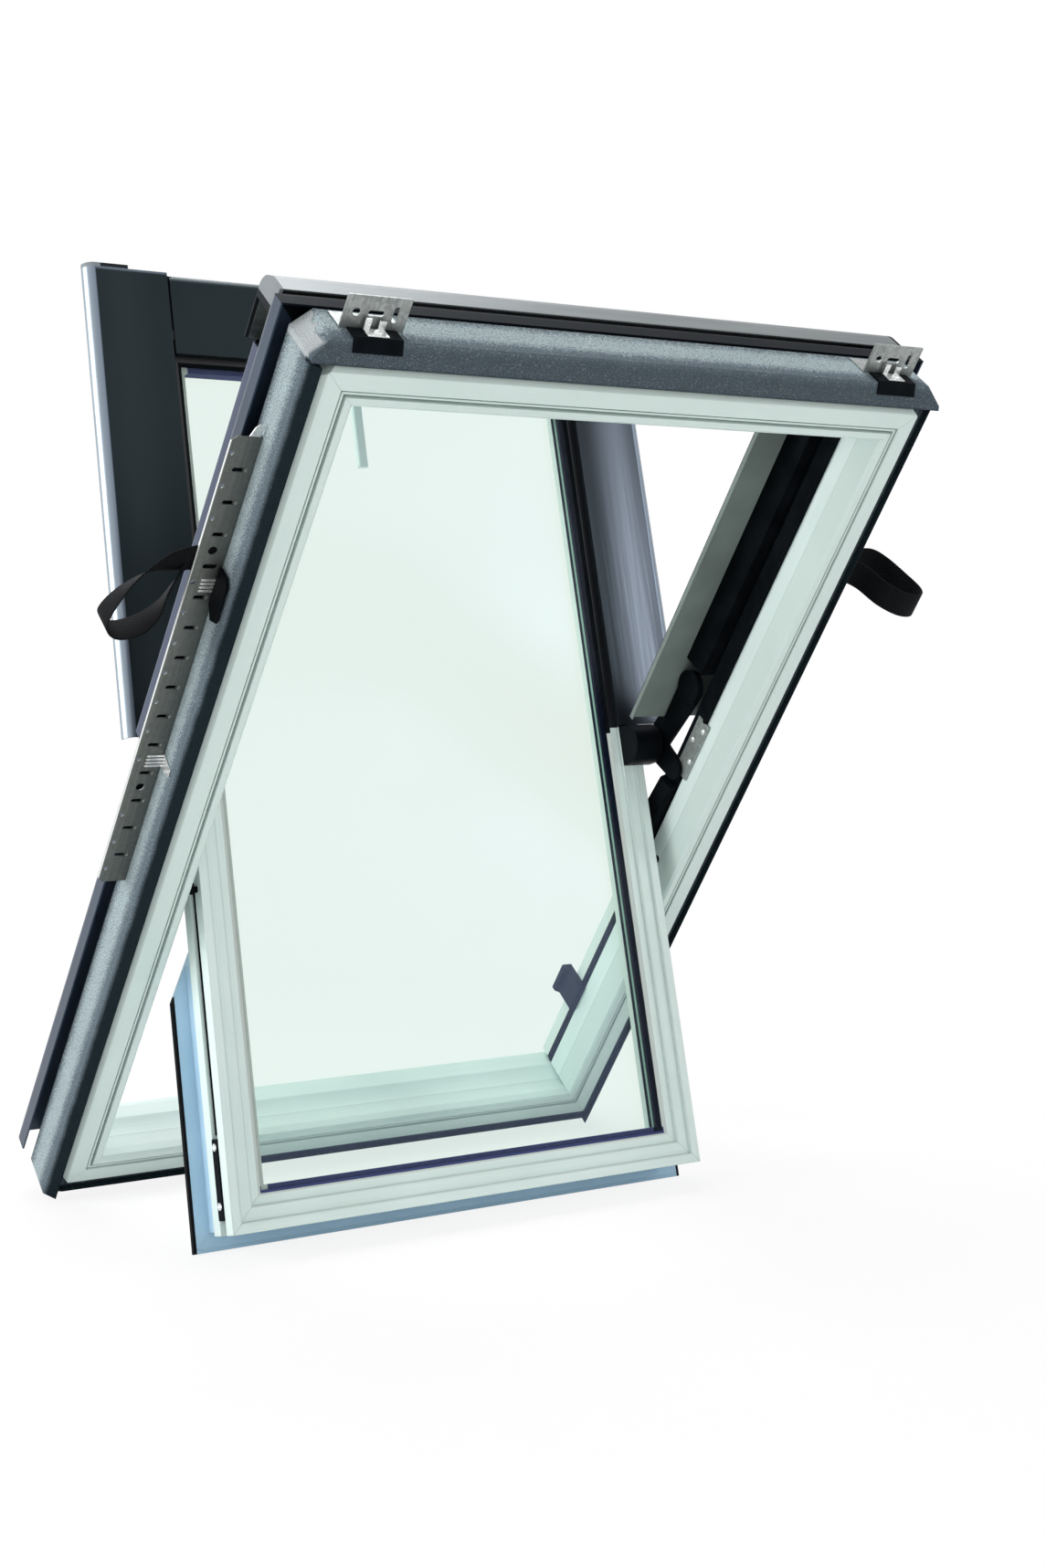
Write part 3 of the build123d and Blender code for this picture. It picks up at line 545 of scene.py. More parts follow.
@dataclass(frozen=True)
class Cladding(Finish):
    """Dark lacquered aluminium with a painted highlight on its rounded outer edge."""

    dark: Colour = (0.010, 0.017, 0.020)
    flake: Colour = (0.017, 0.026, 0.030)
    painted_reflection: Colour = (0.020, 0.029, 0.034)
    turning: Colour = (0.19, 0.23, 0.29)
    bright: Colour = (0.31, 0.365, 0.41)
    reflection_start: float = 0.302
    reflection_peak: float = 0.356
    side_edge: float = 0.3868
    side_end: float = 0.4000
    end_edge: float = -0.613

    def make(self, shader: Shader) -> bpy.types.Material:
        """Metal flake in the lacquer, long drawing lines, a painted reflection band and a painted highlight
        on the rounded edge.
        """
        drawn = shader.noise(260.0, 2.0, shader.stretched(Run.SLOPE.value))
        flakes = shader.noise(5200.0, 0.0)
        cloud = shader.noise(4.0, 3.0)
        colour = shader.blend((flakes * 0.5 + cloud * 0.5).ramp(0.38, 0.64), self.dark, self.flake)
        across = abs(shader.axis(Axis.ACROSS))
        peak = self.reflection_peak
        # Painted reflection: a lighter band across the flat face, strongest at its peak.
        painted_light_band = across.ramp(self.reflection_start, peak) * across.ramp(peak, self.side_edge, 1.0, 0.4)
        colour = shader.blend(painted_light_band, colour, self.painted_reflection)
        # Painted highlight: the rounded side edge and the end edge turn to silver, paler further across the
        # rounding.
        side = across.ramp(self.side_edge - 0.001, self.side_edge + 0.0012)
        end = shader.axis(Axis.SLOPE).ramp(self.end_edge - 0.002, self.end_edge, 0.5, 0.0)
        edge = side.top(end)
        rounding_highlight = (across + drawn * 0.002).ramp(self.side_edge + 0.001, self.side_end)
        return shader.done(shader.surface(
            Base_Color=shader.blend(edge, colour, shader.blend(rounding_highlight, self.turning, self.bright)),
            Metallic=edge.ramp(0.0, 1.0, 0.8, 0.9),
            Roughness=drawn.ramp(0.2, 0.8, 0.28, 0.38),
            Specular_IOR_Level=0.3,
            Normal=shader.relief(drawn + flakes * 0.3, 0.00001, 0.001),
        ))


@dataclass(frozen=True)
class DrawnAluminium(Finish):
    """Satin drawn aluminium of the hood."""

    pale: Colour = (0.190, 0.210, 0.216)
    shade: Colour = (0.128, 0.144, 0.150)

    def make(self, shader: Shader) -> bpy.types.Material:
        """Long lines across the window and a soft cloud."""
        drawn = shader.noise(380.0, 3.0, shader.stretched(Run.ACROSS.value))
        cloud = shader.noise(5.0, 2.0)
        tone = (drawn * 0.6 + cloud * 0.4).ramp(0.3, 0.7)
        return shader.done(shader.surface(
            Base_Color=shader.blend(tone, self.shade, self.pale),
            Metallic=0.7,
            Roughness=drawn.ramp(0.2, 0.8, 0.34, 0.46),
            Normal=shader.relief(drawn, 0.00002, 0.001),
        ))


@dataclass(frozen=True)
class Galvanised(Finish):
    """Zinc-coated sheet steel with spangle and rubbed marks, and a painted highlight along its outer edge if
    it has one.
    """

    pale: Colour = (0.36, 0.385, 0.38)
    shade: Colour = (0.235, 0.255, 0.25)
    highlight_colour: Colour = (0.80, 0.82, 0.80)
    spangle: float = 0.3
    highlight_edge: float = 1.0

    def make(self, shader: Shader) -> bpy.types.Material:
        """Crystals of different tone and gloss, long rub marks and the painted edge highlight."""
        crystal = shader.add("ShaderNodeSeparateColor", {}, {0: shader.cells(230.0, "Color")}, 0)
        rub = shader.noise(300.0, 3.0, shader.stretched(Run.SLOPE.value))
        tone = (crystal * self.spangle + rub * (1.0 - self.spangle)).ramp(0.25, 0.75)
        # Painted highlight: a pale strip along the outer edge of the piece.
        edge = abs(shader.axis(Axis.ACROSS)).beyond(self.highlight_edge, blur=0.0003)
        return shader.done(shader.surface(
            Base_Color=shader.blend(edge, shader.blend(tone, self.shade, self.pale), self.highlight_colour),
            Metallic=0.9,
            Roughness=tone.ramp(0.0, 1.0, 0.5, 0.38),
            Normal=shader.relief(rub + crystal * 0.1, 0.00001, 0.0006),
        ))


@dataclass(frozen=True)
class BrightSteel(Finish):
    """Bright plated steel of clips and screws."""

    pale: Colour = (0.86, 0.88, 0.87)
    scratched: Colour = (0.62, 0.64, 0.64)

    def make(self, shader: Shader) -> bpy.types.Material:
        """Plating with faint scratches."""
        scratch = shader.noise(1500.0, 2.0, shader.stretched((1.0, 0.2, 0.2)))
        return shader.done(shader.surface(
            Base_Color=shader.blend(scratch.ramp(0.3, 0.8), self.pale, self.scratched),
            Metallic=0.8,
            Roughness=scratch.ramp(0.2, 0.8, 0.2, 0.36),
            Normal=shader.relief(scratch, 0.00002),
        ))


@dataclass(frozen=True)
class Moulded(Finish):
    """Moulded plastic or rubber with a fine spark-eroded grain."""

    colour: Colour = (0.0015, 0.0022, 0.0030)
    wear_and_highlight: Colour = (0.004, 0.005, 0.0065)
    roughness: float = 0.46
    specular: float = 0.04

    def tint(self, shader: Shader) -> Value:
        """Cloudy colour of the surface."""
        return shader.blend(shader.noise(30.0, 3.0).ramp(0.35, 0.7), self.colour, self.wear_and_highlight)

    def make(self, shader: Shader) -> bpy.types.Material:
        """Grain in the surface, with cloudy gloss."""
        cloud = shader.noise(30.0, 3.0)
        grain = shader.noise(3200.0, 1.0)
        return shader.done(shader.surface(
            Base_Color=self.tint(shader),
            Roughness=cloud.ramp(0.3, 0.7, self.roughness, self.roughness + 0.14),
            Specular_IOR_Level=self.specular,
            Specular_Tint=COOL_GLOSS,
            Normal=shader.relief(grain, 0.00003, 0.0008),
        ))


@dataclass(frozen=True)
class TwoTone(Moulded):
    """Moulded piece that has another colour beyond a limit on one of the window's axes."""

    beyond: Colour = (0.5, 0.5, 0.5)
    axis: Axis = Axis.SLOPE
    limit: float = 0.0

    def tint(self, shader: Shader) -> Value:
        """The two colours, parted at the limit and alike on the left and the right."""
        place = shader.axis(self.axis)
        if self.axis is Axis.ACROSS:
            place = abs(place)
        step = place.beyond(self.limit, blur=0.0004)
        return shader.blend(step, super().tint(shader), self.beyond)


@dataclass(frozen=True)
class SeatSeal(Moulded):
    """Black seal round the seat, of which only a narrow lip is black beside the lower jambs."""

    seat: Colour = (0.62, 0.70, 0.66)
    lip_depth: float = 0.0740
    lower_end: float = -0.230

    def tint(self, shader: Shader) -> Value:
        """Black, with the white seat behind the lip in the lower part."""
        back = shader.axis(Axis.DEPTH).beyond(self.lip_depth, blur=0.0005)
        lower = shader.axis(Axis.SLOPE).short_of(self.lower_end, blur=0.004)
        return shader.blend(back * lower, super().tint(shader), self.seat)


@dataclass(frozen=True)
class GlazingGasket(TwoTone):
    """Gasket round the glass whose lip beside the end bar of the glazing has the bar's violet."""

    violet: Colour = (0.045, 0.058, 0.150)
    lip_start: float = 0.490
    lip_end: float = 0.4975
    lip_half: float = 0.2815

    def tint(self, shader: Shader) -> Value:
        """The two colours, and the lip."""
        slope = shader.axis(Axis.SLOPE)
        started = slope.ramp(self.lip_start - 0.0005, self.lip_start)
        unended = slope.ramp(self.lip_end, self.lip_end + 0.0004, 1.0, 0.0)
        inner = abs(shader.axis(Axis.ACROSS)).ramp(self.lip_half, self.lip_half + 0.0004, 1.0, 0.0)
        return shader.blend(started * unended * inner, super().tint(shader), self.violet)


@dataclass(frozen=True)
class Webbing(Finish):
    """Woven black webbing, its ribs laid on the strap's own length and width."""

    ribs: float = 1500.0
    groove: Colour = (0.001, 0.001, 0.002)
    thread: Colour = (0.007, 0.008, 0.009)

    def make(self, shader: Shader) -> bpy.types.Material:
        """Twill ribs with fluffed edges."""
        length = shader.add("ShaderNodeUVMap", {"uv_map": "strap"}, {})
        along = shader.add("ShaderNodeSeparateXYZ", {}, {0: length}, 0)
        width = shader.add("ShaderNodeSeparateXYZ", {}, {0: length}, 1)
        twill = (along * self.ribs + width * self.ribs * 1.6).math("SINE")
        warp = (width * self.ribs * 2.6).math("SINE")
        weave = (twill * 0.6 + warp * 0.4).ramp(-0.8, 0.8)
        fluff = shader.noise(700.0, 3.0)
        tone = (weave * 0.6 + fluff * 0.4).ramp(0.2, 0.8)
        return shader.done(shader.surface(
            Base_Color=shader.blend(tone, self.groove, self.thread),
            Roughness=tone.ramp(0.0, 1.0, 0.85, 0.65),
            Specular_IOR_Level=0.08,
            Normal=shader.relief(weave, 0.0003),
        ))


@dataclass(frozen=True)
class Pane(Finish):
    """Float glass with a pale green body and a faint coloured mirror."""

    body: Colour = (0.954, 0.982, 0.962)
    gloss: Colour = (0.70, 0.76, 0.82)
    mirror: float = 0.012
    edge_blend: float = 0.18
    edge_power: float = 3.0
    edge_share: float = 0.3

    def make(self, shader: Shader) -> bpy.types.Material:
        """Smeared soft mirror that grows at flat angles; light that falls through stays untinted."""
        smear = shader.noise(9.0, 4.0)
        body = shader.add("ShaderNodeBsdfTransparent", {}, {"Color": self.body})
        mirror = shader.add("ShaderNodeBsdfGlossy", {}, {
            "Color": self.gloss, "Roughness": smear.ramp(0.3, 0.8, 0.36, 0.46),
        })
        facing = shader.add("ShaderNodeLayerWeight", {}, {"Blend": self.edge_blend}, "Facing")
        shadow = shader.add("ShaderNodeLightPath", {}, {}, "Is Shadow Ray")
        bounced = shader.add("ShaderNodeLightPath", {}, {}, "Is Diffuse Ray")
        share = facing.math("POWER", self.edge_power) * self.edge_share + self.mirror
        glass = shader.add("ShaderNodeMixShader", {}, {0: share, 1: body, 2: mirror})
        clear = shader.add("ShaderNodeBsdfTransparent", {}, {"Color": (1.0, 1.0, 1.0)})
        unseen = shadow.top(bounced)
        return shader.done(shader.add("ShaderNodeMixShader", {}, {0: unseen, 1: glass, 2: clear}))


@dataclass(frozen=True)
class Spacer(Finish):
    """Spacer bars of the glazing: painted light makes the left bar pale beside the dark right one; the cross
    bars are violet.
    """

    colour: Colour = (0.003, 0.006, 0.018)
    # line: colour of the painted reflection of the glass edge
    line: Colour = (0.200, 0.350, 0.290)
    violet: Colour = (0.045, 0.058, 0.150)
    pale: Colour = (0.46, 0.52, 0.49)
    side_bar: float = 0.270
    reflection_depth: float = 0.0955

    def make(self, shader: Shader) -> bpy.types.Material:
        """Dark bar with a painted green reflection of the glass edge along it, and violet on the cross bars.
        """
        # Painted reflection: a green line of the glass edge along the bar.
        glass_edge_reflection = shader.axis(Axis.DEPTH).line(self.reflection_depth, core=0.0014, edge=0.0028)
        across = shader.axis(Axis.ACROSS)
        side = abs(across).beyond(self.side_bar, blur=0.001)
        left = across.short_of(-self.side_bar, blur=0.001)
        cloud = shader.noise(60.0, 2.0)
        bar = shader.blend(glass_edge_reflection * (cloud * 0.2 + 0.85), self.colour, self.line)
        # Painted light: the left bar is drawn pale, the right one dark.
        colour = shader.blend(left, shader.blend(side, self.violet, bar), self.pale)
        return shader.done(shader.surface(
            Base_Color=colour,
            Roughness=cloud.ramp(0.3, 0.7, 0.5, 0.6),
            Specular_IOR_Level=0.04,
            Normal=shader.relief(glass_edge_reflection, 0.0003),
        ))


FLANGE_BLUE = (0.365, 0.545, 0.685)
FRAME_CORNERS = ((0.390, 0.604), (0.390, -0.576))
SASH_CORNERS = ((0.324, 0.5385), (0.324, -0.541))
WHITE_SLOPE = WhiteProfile("white_jamb", Run.SLOPE, corners=FRAME_CORNERS, painted_shade_depth=0.036)
WHITE_ACROSS = WhiteProfile("white_head", Run.ACROSS, corners=FRAME_CORNERS, painted_shade_depth=0.036)
SASH_STEPS = (0.012, 0.028)
SASH_SLOPE = WhiteProfile(
    "white_stile", Run.SLOPE, corners=SASH_CORNERS, steps=SASH_STEPS, weather_depth=0.109,
)
SASH_ACROSS = WhiteProfile(
    "white_rail", Run.ACROSS, corners=SASH_CORNERS, steps=SASH_STEPS, weather_depth=0.109,
)
WHITE_HANDLE = WhiteProfile("white_handle", Run.SLOPE)
FOAM = BeadFoam("bead_foam")
DARK_COVER = CoatedSheet("dark_cover")
BLACK_COVER = CoatedSheet("black_cover", (0.003, 0.004, 0.006), (0.006, 0.008, 0.011), 0.5, 0.05)
UPPER_COVER = CoverSheet("upper_cover")
SASH_CLADDING = Cladding("sash_cladding")
# Painted light: a lighter copy of the cladding for the right side, with a strong painted reflection band.
LIT_CLADDING = Cladding("lit_cladding", (0.012, 0.017, 0.022), (0.018, 0.024, 0.030), (0.100, 0.118, 0.146))
HOOD = DrawnAluminium("hood_aluminium")
STEEL = Galvanised("galvanised_steel")
RAIL_STEEL = Galvanised(
    "rail_steel", (0.165, 0.178, 0.166), (0.125, 0.137, 0.128), spangle=0.15, highlight_edge=0.4412,
)
BRIGHT = BrightSteel("bright_steel")
GREY_CAP = TwoTone(
    "grey_cap", (0.012, 0.014, 0.016), (0.020, 0.023, 0.026), 0.34, beyond=(0.22, 0.24, 0.25), limit=0.612,
)
END_CAP = TwoTone(
    "end_cap", (0.020, 0.024, 0.028), (0.030, 0.035, 0.040), beyond=(0.24, 0.27, 0.29),
    axis=Axis.ACROSS, limit=0.380,
)
BLACK = Moulded("black_plastic")
HINGE_BLACK = CoatedSheet("hinge_black", (0.0015, 0.0022, 0.0030), (0.004, 0.005, 0.0065), 0.40, 0.05)
SEAL = SeatSeal("seal_rubber", roughness=0.5)
GASKET = GlazingGasket("glazing_gasket", roughness=0.5, beyond=(0.50, 0.555, 0.53), limit=-0.02)
BEAD = TwoTone(
    "flange_bead", FLANGE_BLUE, FLANGE_BLUE, beyond=(0.006, 0.006, 0.007), axis=Axis.ACROSS, limit=0.3372,
)
KEEPER = Moulded("keeper_grey", (0.010, 0.011, 0.016), (0.018, 0.020, 0.027), 0.4)
WEBBING = Webbing("webbing")
OUTER_GLASS = Pane("outer_glass")
INNER_GLASS = Pane("inner_glass", gloss=(0.36, 0.44, 0.85), mirror=0.035)
SPACER = Spacer("glass_spacer")
FLANGE = CoatedSheet("blue_flange", FLANGE_BLUE, (0.405, 0.590, 0.730), 0.36, 0.3)


def placed(
    mesh: bmesh.types.BMesh, name: str, space: Space, finish: Finish, slot: str, bevel: float = 0.0,
) -> bpy.types.Object:
    """Turn faces in window millimetres into one riding piece.

    Args:
        mesh: the faces; it is used up.
        name: the piece's name.
        space: the group whose axes it is drawn in.
        finish: its finish.
        slot: the record's material slot that it belongs to; not used.
        bevel: width of its softened edges in millimetres.

    Returns:
        The object, riding on the window.
    """
    bmesh.ops.recalc_face_normals(mesh, faces=mesh.faces)
    mesh.transform(space.matrix)
    data = bpy.data.meshes.new(name)
    mesh.to_mesh(data)
    mesh.free()
    made = bpy.data.objects.new(name, data)
    bpy.context.scene.collection.objects.link(made)
    data.materials.append(finish.material(space))
    if bevel:
        soft = made.modifiers.new("soft_edges", "BEVEL")
        soft.width = bevel * MILLIMETRE
        soft.segments = 2
        soft.limit_method = "ANGLE"
    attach(made, "root")
    LOG.info("made %s", name)
    return made


class Piece:
    """Collects faces in window millimetres and turns them into one riding piece."""

    def __init__(self, name: str, space: Space) -> None:
        """Start an empty piece.

        Args:
            name: the piece's name.
            space: the group whose axes it is drawn in.
        """
        self.name = name
        self.space = space
        self.mesh = bmesh.new()

    def prism(self, outline: Iterable[Point], axis: Axis, start: float, end: float) -> "Piece":
        """Add a straight body.

        Args:
            outline: its outline in the two other axes.
            axis: the axis along which it runs.
            start: where it begins on that axis.
            end: where it ends.

        Returns:
            The piece itself.
        """
        main, first, second = axis.value
        rings = []
        for place in (start, end):
            ring = []
            for one, two in outline:
                point = [0.0, 0.0, 0.0]
                point[main], point[first], point[second] = place, one, two
                ring.append(self.mesh.verts.new(point))
            rings.append(ring)
        self.bridge(rings)
        for ring in rings:
            self.mesh.faces.new(ring)
        return self

    def bridge(self, rings: list[list[bmesh.types.BMVert]]) -> None:
        """Join neighbouring closed rings with faces."""
        for near, far in zip(rings, rings[1:]):
            for index in range(len(near)):
                after = (index + 1) % len(near)
                self.mesh.faces.new((near[index], near[after], far[after], far[index]))

    def block(self, low: Point, high: Point) -> "Piece":
        """Add a box between two corners."""
        outline = [(low[0], low[2]), (high[0], low[2]), (high[0], high[2]), (low[0], high[2])]
        return self.prism(outline, Axis.DEPTH, low[1], high[1])

    def rod(self, axis: Axis, centre: Point, stations: Stations, count: int = 20) -> "Piece":
        """Add a turned body.

        Args:
            axis: its axis.
            centre: a point on the axis.
            stations: places along the axis, from the centre, with the radius at each.
            count: corners of each ring.

        Returns:
            The piece itself.
        """
        main, first, second = axis.value
        rings = []
        for place, radius in stations:
            ring = []
            for step in range(count):
                angle = 2.0 * math.pi * step / count
                point = list(centre)
                point[main] += place
                point[first] += radius * math.cos(angle)
                point[second] += radius * math.sin(angle)
                ring.append(self.mesh.verts.new(point))
            rings.append(ring)
        self.bridge(rings)
        self.mesh.faces.new(rings[0])
        self.mesh.faces.new(rings[-1])
        return self

    def build(self, finish: Finish, slot: str, bevel: float = 0.5) -> bpy.types.Object:
        """Close the piece.

        Args:
            finish: its finish.
            slot: the record's material slot that it belongs to; passed on to placed, which does not use it.
            bevel: width of its softened edges in millimetres.

        Returns:
            The object, riding on the window.
        """
        return placed(self.mesh, self.name, self.space, finish, slot, bevel)


def dress(frame: dict[str, Any], finish: Finish, space: Space, *names: str) -> None:
    """Give carried-over nodes a finish.

    Args:
        frame: the loaded frame.
        finish: the finish.
        space: the group that the nodes belong to.
        names: the nodes.
    """
    material = finish.material(space)
    for name in names:
        data = frame["nodes"][name].data
        data.materials.clear()
        data.materials.append(material)
        LOG.info("dressed %s with %s", name, finish.name)


def mirrored(sign: float, *pairs: Point) -> list[Point]:
    """Outline points moved to the side that the sign names."""
    return [(sign * pair[0], pair[1]) for pair in pairs]


@dataclass
class FixedFrame:
    """White frame with its foam collar, covers, hood, fixing rails and head brackets."""

    frame: dict[str, Any]
    foam_face: float = 408.0
    rail_depth: float = 45.0
    clip_heights: tuple[float, ...] = (310.0, 72.0)
    clip_teeth: int = 4
    tooth_pitch: float = 4.6
    tooth_length: float = 21.0
    tooth_share: float = 0.62
    tab_end: float = 20.0
    bracket_middle: float = 338.0
    bracket_depth: float = 28.0
    pad_half: float = 28.0
    pad_thickness: float = 2.5
    clip_screw: Stations = ((0.0, 4.6), (2.0, 4.4), (3.0, 3.2), (3.1, 0.8))
    crest: float = 634.0
    jamb_face: float = 346.8
    keeper_height: float = -404.0
    keeper_half: float = 22.0
    side_pad_depths: tuple[float, float] = (64.0, 92.0)
    plate_thickness: float = 3.0
    screw_places: tuple[tuple[float, float], ...] = ((61.0, 26.0), (73.0, 54.0), (61.0, 76.0))
    screw_head: Stations = ((0.0, 4.0), (1.2, 3.8), (1.9, 2.6), (2.0, 0.6))
    rivet_head: Stations = ((0.0, 9.0), (0.8, 8.6), (1.3, 6.4), (1.4, 0.8))
    lobe_thickness: float = 9.0
    lobe_place: tuple[float, float] = (112.0, 110.0)

    def dress(self) -> None:
        """Give every node of the frame its finish."""
        finishes = {
            WHITE_ACROSS: ("frame_head", "frame_sill"),
            WHITE_SLOPE: ("left_jamb", "right_jamb"),
            SEAL: ("frame_seal",),
            FOAM: ("top_foam", "bottom_foam", "left_foam", "right_foam"),
            DARK_COVER: ("sill_cover", "left_side_cover", "right_side_cover"),
            BLACK_COVER: ("head_cover",),
            UPPER_COVER: ("left_upper_cover", "right_upper_cover"),
            BLACK: ("left_cover_core", "right_cover_core", "right_hood_cap"),
            HOOD: ("hood",),
            GREY_CAP: ("left_hood_cap",),
            RAIL_STEEL: ("left_rail", "right_rail"),
            STEEL: ("left_head_bracket", "right_head_bracket", "left_hinge_plate", "right_hinge_plate"),
            HINGE_BLACK: ("left_bearing", "right_bearing"),
        }
        for finish, names in finishes.items():
            dress(self.frame, finish, Space.FRAME, *names)

    def rail_clips(self, side: str, sign: float) -> None:
        """Toothed sheet clips that hold a rail to the foam, the upper one on a black base."""
        face, front = self.foam_face, self.rail_depth
        for index, height in enumerate(self.clip_heights):
            clip = Piece(f"{side}_rail_clip_{index}", Space.FRAME)
            for step in range(self.clip_teeth):
                low = height + (step - self.clip_teeth / 2.0) * self.tooth_pitch
                high = low + self.tooth_pitch * self.tooth_share
                tip = face + self.tooth_length
                tooth = mirrored(
                    sign, (face + 1.0, low), (tip - 2.0, low), (tip, (low + high) / 2.0),
                    (tip - 2.0, high), (face + 1.0, high),
                )
                clip.prism(tooth, Axis.DEPTH, front - 1.6, front - 0.2)
            tab = [(front - 1.4, height - 9.0), (front - 1.4, height + 9.0)]
            tab += [(self.tab_end, height + 5.0), (self.tab_end, height - 5.0)]
            clip.prism(tab, Axis.ACROSS, sign * (face + 0.3), sign * (face + 1.5))
            clip.build(BRIGHT, "galvanised_steel", 0.25)
            if index == 0:
                base = Piece(f"{side}_clip_base", Space.FRAME)
                outline = [(16.0, height - 30.0), (16.0, height + 16.0), (24.0, height + 24.0)]
                outline += [(43.0, height + 24.0), (43.0, height - 24.0), (30.0, height - 36.0)]
                base.prism(outline, Axis.ACROSS, sign * (face + 1.6), sign * (face + 5.0))
                base.build(BLACK, "black_plastic", 1.0)

    def bracket_clips(self, side: str, sign: float) -> None:
        """Black pad over the foam's edge before a head bracket, with a folded clip and a screw on it."""
        middle, crest, front = sign * self.bracket_middle, self.crest, self.bracket_depth
        top = crest + self.pad_thickness
        pad = Piece(f"{side}_bracket_pad", Space.FRAME)
        outline = [(front - 1.0, crest + 0.3), (front - 1.0, top), (7.0, top), (0.2, crest - 11.6)]
        outline += [(2.0, crest - 12.5), (8.0, crest + 0.3)]
        pad.prism(outline, Axis.ACROSS, middle - self.pad_half, middle + self.pad_half)
        pad.build(BLACK, "black_plastic", 0.6)
        clip = Piece(f"{side}_bracket_clip", Space.FRAME)
        clip.block((middle - 12.0, 9.0, top + 0.2), (middle + 12.0, 24.0, top + 1.6))
        clip.block((middle - 12.0, 22.4, top + 1.6), (middle - 5.0, 24.0, top + 13.0))
        clip.block((middle + 4.0, 22.4, top + 1.6), (middle + 12.0, 24.0, top + 11.0))
        clip.rod(Axis.SLOPE, (middle + 1.0, 15.0, top + 1.6), self.clip_screw)
        clip.build(BRIGHT, "galvanised_steel", 0.3)

    def keeper(self, side: str, sign: float) -> None:
        """Striker block for the sash's lock on the edge of a jamb."""
        face, height = self.jamb_face, self.keeper_height
        block = Piece(f"{side}_keeper", Space.FRAME)
        outline = mirrored(
            sign, (face - 0.3, 62.0), (face - 0.3, 108.0), (face - 16.0, 108.0), (face - 16.0, 100.0),
            (face - 10.0, 96.0), (face - 10.0, 62.0),
        )
        block.prism(outline, Axis.SLOPE, height - self.keeper_half, height + self.keeper_half)
        block.build(KEEPER, "black_plastic", 1.2)

    def side_pad(self, side: str, sign: float) -> None:
        """Black guide pad behind the reveal of a jamb, below its hinge."""
        pad = Piece(f"{side}_side_pad", Space.FRAME)
        face = self.jamb_face - 0.3
        outline = mirrored(
            sign, (face, -18.0), (face - 10.0, -24.0), (face - 14.0, -66.0), (face - 18.0, -80.0),
            (face - 18.0, -150.0), (face - 8.0, -190.0), (face, -200.0),
        )
        pad.prism(outline, Axis.DEPTH, *self.side_pad_depths)
        pad.build(BLACK, "black_plastic", 1.5)

    def hinge_screws(self, side: str, sign: float) -> None:
        """Screw heads that hold a hinge plate to its jamb, and the rivet of its cam."""
        screws = Piece(f"{side}_hinge_screws", Space.FRAME)
        plate = sign * (self.jamb_face - self.plate_thickness)
        for depth, height in self.screw_places:
            screws.rod(Axis.ACROSS, (plate, depth, height), mirrored(-sign, *self.screw_head))
        screws.build(BRIGHT, "galvanised_steel", 0.0)
        rivet = Piece(f"{side}_cam_rivet", Space.FRAME)
        lobe = plate - sign * self.lobe_thickness
        rivet.rod(Axis.ACROSS, (lobe, *self.lobe_place), mirrored(-sign, *self.rivet_head))
        rivet.build(HINGE_BLACK, "hinge_black", 0.0)

    def rail_tab(self, side: str, sign: float) -> None:
        """Bright spring tab at the upper end of a rail."""
        tab = Piece(f"{side}_rail_tab", Space.FRAME)
        face = self.foam_face
        outline = mirrored(
            sign, (face + 2.5, 493.2), (face + 15.0, 493.2), (face + 11.0, 504.0), (face + 6.5, 508.0),
            (face + 2.5, 505.0),
        )
        tab.prism(outline, Axis.DEPTH, self.rail_depth + 0.3, self.rail_depth + 1.6)
        tab.build(BRIGHT, "galvanised_steel", 0.3)

    def build(self) -> None:
        """Dress the nodes and add the small hardware of both sides."""
        self.dress()
        for side, sign in SIDES.items():
            self.rail_clips(side, sign)
            self.bracket_clips(side, sign)
            self.keeper(side, sign)
            self.side_pad(side, sign)
            self.hinge_screws(side, sign)
            self.rail_tab(side, sign)


